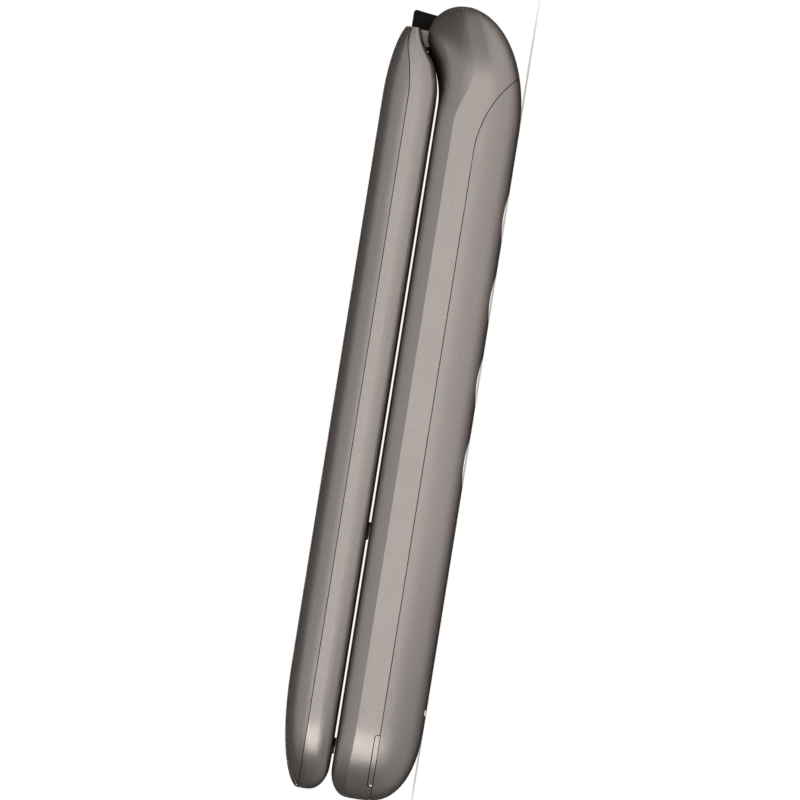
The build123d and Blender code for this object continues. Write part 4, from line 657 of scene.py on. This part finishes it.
def camera_face(name):
    """Black camera body with a glass eye: dark rings round a deep centre with a faint violet coating."""
    made, tree, shader = new_material(name)
    flat = vector_node(tree, "MULTIPLY", object_place(tree, "camera_module"), (1.0, 1.0, 0.0)).outputs[0]
    radius = vector_node(tree, "LENGTH", flat).outputs["Value"]
    rings = node(tree, "ShaderNodeValToRGB", map_range(tree, radius, 0.0, 2.4 * MM))
    stops = (
        (0.00, (0.002, 0.002, 0.004)), (0.30, (0.012, 0.006, 0.026)), (0.36, (0.030, 0.030, 0.034)),
        (0.42, (0.004, 0.004, 0.005)), (0.62, (0.010, 0.010, 0.012)), (0.66, (0.045, 0.045, 0.048)),
        (0.72, (0.006, 0.006, 0.007)), (1.00, (0.012, 0.012, 0.013)),
    )
    while len(rings.color_ramp.elements) < len(stops):
        rings.color_ramp.elements.new(0.5)
    for stop, (position, colour) in zip(rings.color_ramp.elements, stops):
        stop.position = position
        stop.color = rgba(colour)
    grain = effect(tree, "fine grain", Size=0.1 * MM, Cloud_Size=3 * MM)
    feed(
        tree, shader,
        Base_Color=mix_colour(
            tree, multiply(tree, grain["Cloud"], 0.1), rings.outputs[0], (0.03, 0.03, 0.03)
        ),
        Roughness=map_range(tree, radius, 0.9 * MM, 1.6 * MM, 0.04, 0.35),
        Normal=bump(tree, rings.outputs[0], 0.15 * MM),
    )
    return made


def printed_ink(name, colour, relief=0.003 * MM, shine=0.5):
    """Printed ink with a slightly uneven cover; relief is its grain's height, shine its gloss."""
    made, tree, shader = new_material(name)
    grain = effect(tree, "fine grain", Size=0.05 * MM, Cloud_Size=1.2 * MM)
    dust = effect(tree, "dust and haze", Smear_Size=2 * MM)
    feed(
        tree, shader,
        Base_Color=mix_colour(tree, grain["Cloud"], shaded(colour, 0.86), colour),
        Roughness=between(tree, dust["Haze"], 0.42, 0.55),
        Specular_IOR_Level=shine,
    )
    if relief:
        feed(tree, shader, Normal=bump(tree, grain["Grain"], relief))
    return made


def soft_rubber(name):
    """Soft rubber with a dull skin."""
    base, lighter = RUBBERS[name]
    made, tree, shader = new_material(name)
    grain = effect(tree, "fine grain", Size=0.12 * MM, Cloud_Size=5 * MM)
    dust = effect(tree, "dust and haze", Speck_Size=0.15 * MM)
    colour = mix_colour(tree, grain["Cloud"], base, lighter)
    feed(
        tree, shader,
        Base_Color=mix_colour(tree, multiply(tree, dust["Specks"], 0.3), colour, (0.5, 0.5, 0.48)),
        Roughness=between(tree, dust["Haze"], 0.62, 0.78),
        Normal=bump(tree, grain["Grain"], 0.008 * MM),
    )
    return made


def turned_ring(name):
    """Metallised ring with fine turned lines round its centre."""
    made, tree, shader = new_material(name)
    waves = node(tree, "ShaderNodeTexWave", wave_type="RINGS", rings_direction="Z")
    feed(tree, waves, Vector=object_place(tree, "nav_ring"), Scale=per_size(tree, 1.1 * MM))
    feed(tree, waves, Distortion=0.15, Detail=2.0)
    lines = waves.outputs["Fac"]
    dust = effect(tree, "dust and haze", Smear_Size=4 * MM)
    wear = effect(tree, "edge wear", Amount=0.6)
    colour = mix_colour(tree, lines, (0.36, 0.34, 0.32), (0.44, 0.42, 0.40))
    feed(
        tree, shader,
        Base_Color=mix_colour(tree, wear["Mask"], colour, (0.62, 0.60, 0.58)),
        Metallic=0.9,
        Roughness=between(tree, dust["Haze"], 0.30, 0.42),
        Normal=bump(tree, lines, 0.004 * MM),
    )
    return made


# ---------------------------------------------------------------- mesh helpers
def deselect_all():
    """Leaves nothing selected, in object mode."""
    if bpy.context.object and bpy.context.object.mode != "OBJECT":
        bpy.ops.object.mode_set(mode="OBJECT")
    bpy.ops.object.select_all(action="DESELECT")


def pick(*pieces):
    """Selects pieces and nothing else, with the first one active."""
    deselect_all()
    for piece in pieces:
        piece.select_set(True)
    bpy.context.view_layer.objects.active = pieces[0]


def settle(piece, name, body, material):
    """Puts a finished piece's place in its mesh, and gives it its name, body, slot and finish."""
    bpy.ops.object.transform_apply(location=True, rotation=True, scale=True)
    piece.name = name
    piece.data.name = name
    piece.data.materials.clear()
    piece.data.materials.append(material)
    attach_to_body(piece, body)


def paint(material, *parts):
    """Gives CAD nodes a finish."""
    for part in parts:
        mesh = NODES[part].data
        mesh.materials.clear()
        mesh.materials.append(material)


def top_centre(part):
    """Middle of a CAD node's top face."""
    middle = middle_of(part)
    return Vector((middle.x, middle.y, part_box(part)[1].z))


def body_of(part):
    """Body that a CAD node rides on."""
    return NODES[part].parent.name.split(":", 1)[1]


def face_outwards():
    """Turns the active mesh's faces outwards, and goes from edit mode back to object mode."""
    bpy.ops.mesh.select_all(action="SELECT")
    bpy.ops.mesh.normals_make_consistent(inside=False)
    bpy.ops.object.mode_set(mode="OBJECT")


def merge_doubles():
    """Merges the active mesh's doubles, in edit mode."""
    bpy.ops.object.mode_set(mode="EDIT")
    bpy.ops.mesh.select_all(action="SELECT")
    bpy.ops.mesh.remove_doubles(threshold=MERGE_DISTANCE)


def rounded_slab(low, high, corner):
    """Slab between two corners with rounded upright edges, as the active object."""
    deselect_all()
    low, high = Vector(low), Vector(high)
    bpy.ops.mesh.primitive_cube_add(size=1.0, location=(low + high) / 2)
    piece = bpy.context.object
    piece.scale = high - low
    bpy.ops.object.transform_apply(location=True, rotation=True, scale=True)
    bpy.ops.object.mode_set(mode="EDIT")
    bpy.ops.mesh.select_mode(type="EDGE")
    bpy.ops.mesh.select_all(action="DESELECT")
    sketch = bmesh.from_edit_mesh(piece.data)
    for edge in sketch.edges:
        start, end = edge.verts
        edge.select_set(abs(start.co.z - end.co.z) > 0.5 * (high.z - low.z))
    bmesh.update_edit_mesh(piece.data)
    bpy.ops.mesh.bevel(offset=corner, offset_type="OFFSET", segments=6, affect="EDGES")
    bpy.ops.object.mode_set(mode="OBJECT")
    return piece


def disc(centre, radius, bottom, top, sides=64):
    """Upright disc, as the active object."""
    deselect_all()
    middle = (centre.x, centre.y, (bottom + top) / 2)
    bpy.ops.mesh.primitive_cylinder_add(vertices=sides, radius=radius, depth=top - bottom, location=middle)
    bpy.ops.object.transform_apply(location=True, rotation=True, scale=True)
    return bpy.context.object


def apply_modifier(piece, kind, **settings):
    """Adds a modifier to a piece and applies it."""
    pick(piece)
    modifier = piece.modifiers.new(kind.lower(), kind)
    for key, value in settings.items():
        setattr(modifier, key, value)
    bpy.ops.object.modifier_apply(modifier=modifier.name)


def cut(piece, cutter):
    """Cuts one piece out of another."""
    apply_modifier(piece, "BOOLEAN", object=cutter, solver="EXACT")
    bpy.data.objects.remove(cutter, do_unlink=True)


def bevel_edges(piece, width):
    """Small bevels along a piece's sharp edges."""
    sharp = math.radians(30)
    apply_modifier(piece, "BEVEL", width=width, segments=2, limit_method="ANGLE", angle_limit=sharp)


def turn(piece, angle, centre):
    """Turns a piece about an upright line and keeps its place in its mesh."""
    pick(piece)
    bpy.ops.object.mode_set(mode="EDIT")
    bpy.ops.mesh.select_all(action="SELECT")
    bpy.ops.transform.rotate(value=-angle, orient_axis="Z", center_override=centre)
    bpy.ops.object.mode_set(mode="OBJECT")


def seam_shade_band(name, part, low_z, high_z, high_y, material):
    """Dark band under a shell's seam faces between two heights and up to high_y: painted shade, a black
    piece where the seam holds only shade.
    """
    facing_down = -0.55
    depth = 0.098 * MM
    # The seam runs round a line along Y, and this is half of the line's length.
    half_line = 30.0 * MM
    piece = NODES[part].copy()
    piece.data = NODES[part].data.copy()
    bpy.context.scene.collection.objects.link(piece)
    pick(piece)
    merge_doubles()
    bpy.ops.mesh.select_mode(type="FACE")
    bpy.ops.mesh.select_all(action="DESELECT")
    sketch = bmesh.from_edit_mesh(piece.data)
    for face in sketch.faces:
        middle = face.calc_center_median()
        in_seam = low_z < middle.z < high_z and middle.y < high_y
        face.select_set(face.normal.z < facing_down and in_seam)
    bmesh.update_edit_mesh(piece.data)
    bpy.ops.mesh.select_all(action="INVERT")
    bpy.ops.mesh.delete(type="FACE")
    sketch = bmesh.from_edit_mesh(piece.data)
    for corner in [each for each in sketch.verts if each.is_boundary]:
        line_y = max(-half_line, min(half_line, corner.co.y))
        inward = Vector((-corner.co.x, line_y - corner.co.y, 0.0)).normalized()
        band = sum((face.calc_center_median() - corner.co for face in corner.link_faces), Vector())
        if band.dot(inward) > 0:
            corner.co += inward * sizes().gasket_recess
    bmesh.update_edit_mesh(piece.data)
    bpy.ops.mesh.select_all(action="SELECT")
    bpy.ops.mesh.extrude_region_move(TRANSFORM_OT_translate={"value": (0, 0, -depth)})
    face_outwards()
    settle(piece, name, body_of(part), material)


# ---------------------------------------------------------------- marks on the keys
def text_mark(name, words, height, key, material):
    """Raised printed mark made from text, on top of its key."""
    deselect_all()
    bpy.ops.object.text_add(location=top_centre(key))
    text = bpy.context.object.data
    text.body = words
    text.size = height * TEXT_SIZE_PER_HEIGHT
    text.align_x = "CENTER"
    text.align_y = "CENTER"
    text.extrude = sizes().mark_thickness / 2
    text.resolution_u = 4
    bpy.ops.object.convert(target="MESH")
    merge_doubles()
    face_outwards()
    settle(bpy.context.object, name, body_of(key), material)


def mark_bar(top, shape, shift_x=0.0, shift_y=0.0, deeper=0.0):
    """Rounded bar of a mark, through the top of its key."""
    half_x, half_y, corner = shape
    centre = top + Vector((shift_x, shift_y, 0.0))
    reach = Vector((half_x, half_y, sizes().mark_thickness / 2 + deeper))
    return rounded_slab(centre - reach, centre + reach, corner)


def mark_disc(centre, radius, sides, deeper=0.0):
    """Round or many-sided flat of a mark, through the top of its key."""
    reach = sizes().mark_thickness / 2 + deeper
    return disc(centre, radius, centre.z - reach, centre.z + reach, sides)


def arrow_head(centre, radius, angle):
    """Three-sided head of an arrow, turned about its middle."""
    head = mark_disc(centre, radius, 3)
    turn(head, angle, centre)
    return head


def settle_mark(name, key, pieces, material):
    """Joins the parts of a mark and settles it on its key."""
    pick(*pieces)
    if len(pieces) > 1:
        bpy.ops.object.join()
    settle(pieces[0], name, body_of(key), material)


# ---------------------------------------------------------------- the steps
class PaintShells(bpy.types.Operator):
    """Metallic paint on the shells of the base and the lid, and on the volume key"""

    bl_idname = "flip_phone.paint_shells"
    bl_label = "Paint the shells"

    def execute(self, context):
        paint(metallic_paint("shell_paint_base"), "base_front_housing")
        paint(metallic_paint("shell_paint_cover"), "battery_cover")
        paint(metallic_paint("shell_paint_lid"), "lid_front_cover", "lid_inner_housing", "volume_key")
        return {"FINISHED"}


class FinishHinge(bpy.types.Operator):
    """Black centre block, steel hinge pieces, rubber bumpers, the cover latch, dark seam and gap pieces as
    painted shade, and bright metal spots as painted glints
    """

    bl_idname = "flip_phone.finish_hinge"
    bl_label = "Finish the hinge and trim"

    def execute(self, context):
        black = colours().hinge
        block = moulded_plastic(
            "hinge_plastic", black, shaded(black, 2.0), 0.45, 0.25 * MM, 0.002 * MM, shine=0.12
        )
        paint(block, "hinge_barrel")
        paint(worked_metal("ground_steel"), "hinge_pin", "hinge_cartridge", "pivot_tube")
        paint(plain_plastic("cable_film"), "flex_cable")
        paint(soft_rubber("bumper_rubber"), "bumpers")
        paint(plain_plastic("latch_plastic"), "cover_latch")
        self.fit_seam_shade_bands()
        self.fit_gap_shade_strip()
        bright = worked_metal("catch_metal")
        self.fit_notch_glints(bright)
        self.fit_tongue_glints(bright)
        return {"FINISHED"}

    def fit_seam_shade_bands(self):
        """Dark bands in the seam of the lid and at the foot of the cover's seam, as painted shade in the
        seams.
        """
        rubber = soft_rubber("gasket_rubber")
        for name, part, low_z, high_z, high_y in (
            ("lid_seam_gasket", "lid_front_cover", 13.8 * MM, 14.98 * MM, 60 * MM),
            ("cover_seam_gasket", "base_front_housing", 4.9 * MM, 5.5 * MM, -46.3 * MM),
        ):
            seam_shade_band(name, part, low_z, high_z, high_y, rubber)

    def fit_gap_shade_strip(self):
        """Thin black rubber strip on the lid in the slanting gap before the hinge's centre block: painted
        shade that closes the gap.
        """
        half = Vector((10.0 * MM, 0.80 * MM, 0.07 * MM))
        gap_slant = math.radians(33.7)
        piece = rounded_slab(-half, half, 0.3 * MM)
        piece.rotation_euler.x = gap_slant
        piece.location = (0.0, 41.62 * MM, 11.88 * MM)
        rubber = soft_rubber("dust_strip_rubber")
        settle(piece, "hinge_dust_strip", body_of("hinge_barrel"), rubber)

    def fit_notch_glints(self, bright):
        """Bright metal in the nail notches at the cover's two back edges: a painted highlight that shows
        each notch as a bright nick.
        """
        half = Vector((0.775 * MM, 0.38 * MM, 0.11 * MM))
        for side, sign in SIDES:
            centre = Vector((sign * 20.475 * MM, -36.55 * MM, 0.16 * MM))
            piece = rounded_slab(centre - half, centre + half, 0.12 * MM)
            bevel_edges(piece, 0.03 * MM)
            settle(piece, f"cover_catch_{side}", "base", bright)

    def fit_tongue_glints(self, bright):
        """Bright metal spots at the foot of the cover's seam, 0.03 mm proud of the cover's tongue: a
        painted glint.
        """
        half = Vector((0.315 * MM, 0.16 * MM, 0.14 * MM))
        proud = 0.03 * MM
        for side, sign in SIDES:
            outside = Vector((sign * 40 * MM, -46.15 * MM, 5.25 * MM))
            found, spot, _, _ = NODES["battery_cover"].ray_cast(outside, Vector((-sign, 0.0, 0.0)))
            if not found:
                raise RuntimeError("the tongue's glint meets no cover")
            centre = Vector((spot.x + sign * (proud - half.x), outside.y, outside.z))
            piece = rounded_slab(centre - half, centre + half, 0.04 * MM)
            bevel_edges(piece, 0.02 * MM)
            settle(piece, f"tongue_stud_{side}", "base", bright)


class FinishKeys(bpy.types.Operator):
    """Satin black keys, the turned ring and the printed marks"""

    bl_idname = "flip_phone.finish_keys"
    bl_label = "Finish the keypad"

    def execute(self, context):
        black = colours().key
        plastic = moulded_plastic("key_plastic", black, shaded(black, 2.6), 0.30, 0.2 * MM, 0.003 * MM)
        paint(plastic, *[f"key_{digit}" for digit in DIGITS], *CALL_KEYS, *SOFT_KEYS)
        paint(turned_ring("ring_metal"), "nav_ring")
        paint(metallic_paint("ok_paint"), "ok_key")
        ink = printed_ink("mark_ink", colours().mark)
        self.print_digits(ink)
        self.print_call_marks(ink)
        self.print_soft_marks(ink)
        self.print_ring_marks(ink)
        return {"FINISHED"}

    def print_digits(self, ink):
        """Digits, star and hash on the twelve keys."""
        shown = {"star": "*", "hash": "#"}
        for digit in DIGITS:
            height = sizes().digit_height * (STAR_GROWTH if digit == "star" else 1.0)
            text_mark(f"mark_{digit}", shown.get(digit, digit), height, f"key_{digit}", ink)

    def print_call_marks(self, ink):
        """Handsets in green and red on the call keys, and an arrow on the clear key."""
        for call, colour in (("send", colours().send), ("end", colours().end)):
            top = top_centre(f"key_{call}")
            handset = [mark_bar(top, HANDSET_GRIP, shift_y=0.425 * MM)]
            for sign in (-1, 1):
                handset.append(mark_bar(top, HANDSET_END, sign * 1.55 * MM, -0.15 * MM))
            settle_mark(f"mark_{call}", f"key_{call}", handset, printed_ink(f"mark_{call}_ink", colour))
        top = top_centre("key_clear")
        head = arrow_head(top - Vector((0.9 * MM, 0.0, 0.0)), 0.95 * MM, math.radians(90))
        shaft = mark_bar(top, ARROW_SHAFT, shift_x=0.5 * MM)
        settle_mark("mark_clear", "key_clear", [head, shaft], ink)

    def print_soft_marks(self, ink):
        """Short bars on the soft keys, a square and a round mark on the side keys."""
        for side in ("left", "right"):
            key = f"soft_key_{side}"
            settle_mark(f"mark_soft_{side}", key, [mark_bar(top_centre(key), SOFT_BAR)], ink)
        top = top_centre("side_key_left")
        square = mark_bar(top, SQUARE)
        cut(square, mark_bar(top, SQUARE_HOLE, deeper=CUTTER_REACH))
        settle_mark("mark_side_left", "side_key_left", [square], ink)
        top = top_centre("side_key_right")
        circle = mark_disc(top, 1.05 * MM, 40)
        cut(circle, mark_disc(top, 0.65 * MM, 40, deeper=CUTTER_REACH))
        settle_mark("mark_side_right", "side_key_right", [circle], ink)

    def print_ring_marks(self, ink):
        """Four small arrows round the navigation ring."""
        top = top_centre("nav_ring")
        ring_radius = 6.9 * MM
        arrows = []
        for quarter in range(4):
            angle = quarter * math.pi / 2
            centre = top + Vector((ring_radius * math.cos(angle), ring_radius * math.sin(angle), 0.0))
            arrows.append(arrow_head(centre, 0.75 * MM, angle - math.pi / 2))
        settle_mark("mark_ring", "nav_ring", arrows, ink)


class FinishDisplays(bpy.types.Operator):
    """Windows, screens, camera and the pieces behind the slots"""

    bl_idname = "flip_phone.finish_displays"
    bl_label = "Finish the displays"

    def execute(self, context):
        paint(clear_window("window_glass"), "main_display_window", "outer_display_window")
        paint(screen_panel("main_screen", "main_display"), "main_display")
        paint(screen_panel("outer_screen", "outer_display"), "outer_display")
        paint(camera_face("camera_face"), "camera_module")
        ink = printed_ink("window_print", colours().border, relief=0.0, shine=0.04)
        main_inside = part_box("main_display_window")[1].z
        outer_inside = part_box("outer_display_window")[0].z - 0.04 * MM
        self.print_border("main", main_inside, 2.0 * MM, 3.5 * MM, ink)
        self.print_border("outer", outer_inside, 2.2 * MM, 1.7 * MM, ink)
        self.fit_lens_ring()
        steel = worked_metal("stamped_steel")
        paint(steel, "earpiece", "microphone", "usb_port", "sim_holder", "shield_cans")
        return {"FINISHED"}

    def print_border(self, place, inside, cover_x, cover_y, ink):
        """Black border on the back of a window. It covers the screen's edges, and clears the lens."""
        low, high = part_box(f"{place}_display_window")
        view_low, view_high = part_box(f"{place}_display")
        margin = 0.1 * MM
        bottom = inside + PRINT_GAP
        top = bottom + PRINT_THICKNESS
        under, over = bottom - CUTTER_REACH, top + CUTTER_REACH
        piece = rounded_slab(
            (low.x + margin, low.y + margin, bottom), (high.x - margin, high.y - margin, top), PRINT_CORNER
        )
        opening = rounded_slab(
            (view_low.x + cover_x, view_low.y + cover_y, under),
            (view_high.x - cover_x, view_high.y - cover_y, over), PRINT_OPENING_CORNER,
        )
        cut(piece, opening)
        if place == "outer":
            cut(piece, disc(middle_of("camera_module"), sizes().lens_opening, under, over))
        settle(piece, f"{place}_window_border", body_of(f"{place}_display_window"), ink)

    def fit_lens_ring(self):
        """Thin bevelled metal ring on the camera's face."""
        face = top_centre("camera_module")
        outer = sizes().lens_opening + 0.2 * MM
        inner = sizes().lens_opening - 0.45 * MM
        bottom, top = face.z - 0.02 * MM, face.z + 0.045 * MM
        piece = disc(face, outer, bottom, top)
        cut(piece, disc(face, inner, bottom - CUTTER_REACH, top + CUTTER_REACH))
        bevel_edges(piece, 0.02 * MM)
        ring = worked_metal("lens_ring_metal")
        settle(piece, "lens_ring", body_of("camera_module"), ring)


class FinishInside(bpy.types.Operator):
    """Frame, battery, boards, card, sockets and the other pieces inside"""

    bl_idname = "flip_phone.finish_inside"
    bl_label = "Finish the inside"

    def execute(self, context):
        paint(battery_film("battery_film"), "battery")
        paint(circuit_board("board_resist"), "main_board", "lid_board")
        paint(dome_film("dome_film"), "dome_sheet")
        paint(contact_card("card_stock"), "sim_card")
        paint(soft_rubber("keypad_rubber"), "keypad_membrane")
        paint(plain_plastic("frame_plastic"), "inner_frame", "antenna_carrier", "loudspeaker")
        paint(plain_plastic("socket_plastic"), "headset_jack", "side_switches")
        paint(worked_metal("contact_gold"), "battery_contacts")
        paint(worked_metal("nickel_plate"), "vibration_motor", "lid_magnet")
        paint(worked_metal("black_steel"), "housing_screws")
        return {"FINISHED"}


# ---------------------------------------------------------------- studio
def soft_light(kind, name, place, target, **settings):
    """Soft lamp of a kind, at a place and turned to a target."""
    bpy.ops.object.light_add(type=kind, location=place)
    lamp = bpy.context.object
    lamp.name = name
    for key, value in settings.items():
        setattr(lamp.data, key, value)
    lamp.rotation_mode = "QUATERNION"
    lamp.rotation_quaternion = (Vector(target) - Vector(place)).to_track_quat("-Z", "Y")
    return lamp


def seen_directly(tree, glossy_share):
    """1 on camera and transmission rays, which show the plain background, and a share on glossy rays."""
    path = node(tree, "ShaderNodeLightPath").outputs
    seen = math_node(tree, "MAXIMUM", path["Is Camera Ray"], path["Is Transmission Ray"])
    if glossy_share:
        seen = math_node(tree, "MAXIMUM", seen, multiply(tree, path["Is Glossy Ray"], glossy_share))
    return seen


def mix_shader(tree, factor, first, second):
    """Mix of two shaders."""
    return node(tree, "ShaderNodeMixShader", factor, first.outputs[0], second.outputs[0])


def build_world():
    """White for the camera, soft light from all round, and a graded room that the gloss mirrors.

    The room has a bright backdrop behind the phone, and a pale wall with a strip of light before it.
    """
    world = bpy.data.worlds.new("studio")
    bpy.context.scene.world = world
    tree = empty_tree(world)
    setting = sizes()
    way = split_axes(tree, node(tree, "ShaderNodeTexCoord").outputs["Generated"])
    backdrop = map_range(tree, way["X"], -0.60, -0.92, 0.0, 1.0 - setting.room_level)
    before = map_range(tree, way["X"], -0.25, 0.10)
    away = math_node(tree, "ABSOLUTE", way["Y"])
    head = map_range(tree, way["Y"], 0.22, 0.62, 1.0, 0.25)
    wall = multiply(tree, before, map_range(tree, away, 0.50, 0.95, setting.wall_level, 0.0), head)
    strip_height = 0.05
    off_strip = math_node(tree, "ABSOLUTE", math_node(tree, "SUBTRACT", way["Z"], strip_height))
    across = map_range(tree, off_strip, 0.04, 0.18, 1.0, 0.0)
    along = map_range(tree, away, 0.60, 0.90, 1.0, 0.0)
    strip = multiply(tree, across, along, before, head, setting.strip_level)
    room = add(tree, backdrop, wall, strip, setting.room_level)
    shown = math_node(tree, "MAXIMUM", room, seen_directly(tree, 0.0))
    mirrored = feed(tree, node(tree, "ShaderNodeBackground"), Color=WHITE, Strength=shown)
    soft = feed(tree, node(tree, "ShaderNodeBackground"), Color=WHITE, Strength=setting.soft_level)
    mix = mix_shader(tree, seen_directly(tree, 1.0), soft, mirrored)
    feed(tree, node(tree, "ShaderNodeOutputWorld"), Surface=mix.outputs[0])


def build_floor():
    """Pale floor that keeps the phone's shadow, mirrors darker past the foot, and is clear from below."""
    deselect_all()
    setting = sizes()
    bpy.ops.mesh.primitive_plane_add(size=setting.floor_size, location=(0, 0, 0))
    floor = bpy.context.object
    floor.name = "studio_floor"
    made = bpy.data.materials.new("studio_floor")
    tree = empty_tree(made)
    along = split_axes(tree, object_place(tree))["Y"]
    # Painted shade: the floor is coloured darker past the phone's foot, for glossy rays only.
    past_foot = map_range(tree, along, -14 * MM, -62 * MM, 0.0, setting.foot_dimming)
    dimmed = multiply(tree, past_foot, node(tree, "ShaderNodeLightPath").outputs["Is Glossy Ray"])
    matt = node(tree, "ShaderNodeBsdfDiffuse")
    feed(tree, matt, Color=mix_colour(tree, dimmed, colours().floor, BLACK))
    strength = multiply(tree, seen_directly(tree, 0.7), setting.floor_glow)
    glow = feed(tree, node(tree, "ShaderNodeEmission"), Color=WHITE, Strength=strength)
    lit = node(tree, "ShaderNodeAddShader", matt.outputs[0], glow.outputs[0])
    below = node(tree, "ShaderNodeNewGeometry").outputs["Backfacing"]
    mix = mix_shader(tree, below, lit, node(tree, "ShaderNodeBsdfTransparent"))
    feed(tree, node(tree, "ShaderNodeOutputMaterial"), Surface=mix.outputs[0])
    floor.data.materials.append(made)


class BuildStudio(bpy.types.Operator):
    """Pale floor, soft lamps, plain world and the camera at the phone's side"""

    bl_idname = "flip_phone.build_studio"
    bl_label = "Build the studio"

    def execute(self, context):
        context.scene.view_settings.view_transform = "Standard"
        build_world()
        build_floor()
        setting = sizes()
        wide = soft_light(
            "SUN", "wide_lamp", (0.40, -0.10, 1.0), (0.0, 0.0, 0.0),
            angle=math.radians(45), energy=setting.wide_strength,
        )
        wide.visible_glossy = False
        small = soft_light(
            "AREA", "foot_lamp", (0.60, -0.42, 0.04), (0.0, -0.04, 0.01),
            shape="RECTANGLE", size=0.60, size_y=0.12, energy=setting.foot_power,
        )
        small.visible_camera = False
        self.place_camera(context)
        return {"FINISHED"}

    def place_camera(self, context):
        """Camera square to the phone's right-hand side, turned so that the phone leans."""
        setting = sizes()
        lean = setting.camera_lean
        right = Vector((0.0, math.sin(lean), -math.cos(lean)))
        up = Vector((0.0, math.cos(lean), math.sin(lean)))
        back = Vector((1.0, 0.0, 0.0))
        view_middle = Vector((20.0 * MM, 0.133 * MM, 9.08 * MM))
        bpy.ops.object.camera_add(location=(0, 0, 0))
        camera = context.object
        camera.name = "side_camera"
        camera.data.sensor_width = 36.0
        camera.data.lens = setting.camera_lens
        camera.data.clip_start = 0.05
        camera.data.clip_end = 50.0
        rotation = Matrix((right, up, back)).transposed().to_4x4()
        camera.matrix_world = Matrix.Translation(view_middle + back * setting.camera_distance) @ rotation
        context.scene.camera = camera


# ---------------------------------------------------------------- the add-on
STEPS = (PaintShells, FinishHinge, FinishKeys, FinishDisplays, FinishInside, BuildStudio)


class FlipPhonePanel(bpy.types.Panel):
    """Panel that lists the settings and the steps"""

    bl_idname = "VIEW3D_PT_flip_phone"
    bl_label = "Flip phone"
    bl_space_type = "VIEW_3D"
    bl_region_type = "UI"
    bl_category = "Flip phone"

    def draw(self, context):
        layout = self.layout
        for group in (sizes(), colours()):
            for name in group.bl_rna.properties.keys():
                if name not in ("rna_type", "name"):
                    layout.prop(group, name)
        for step in STEPS:
            layout.operator(step.bl_idname)


CLASSES = (FlipPhoneSizes, FlipPhoneColours, *STEPS, FlipPhonePanel)


def register():
    """Registers the classes and gives the scene its sizes and colours."""
    for each in CLASSES:
        bpy.utils.register_class(each)
    bpy.types.Scene.flip_phone_sizes = bpy.props.PointerProperty(type=FlipPhoneSizes)
    bpy.types.Scene.flip_phone_colours = bpy.props.PointerProperty(type=FlipPhoneColours)


def unregister():
    """Takes the settings and the classes away again."""
    del bpy.types.Scene.flip_phone_colours
    del bpy.types.Scene.flip_phone_sizes
    for each in reversed(CLASSES):
        bpy.utils.unregister_class(each)


def main():
    """Registers the add-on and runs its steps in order."""
    register()
    for step in STEPS:
        group, name = step.bl_idname.split(".")
        getattr(getattr(bpy.ops, group), name)()


if __name__ == "__main__":
    main()
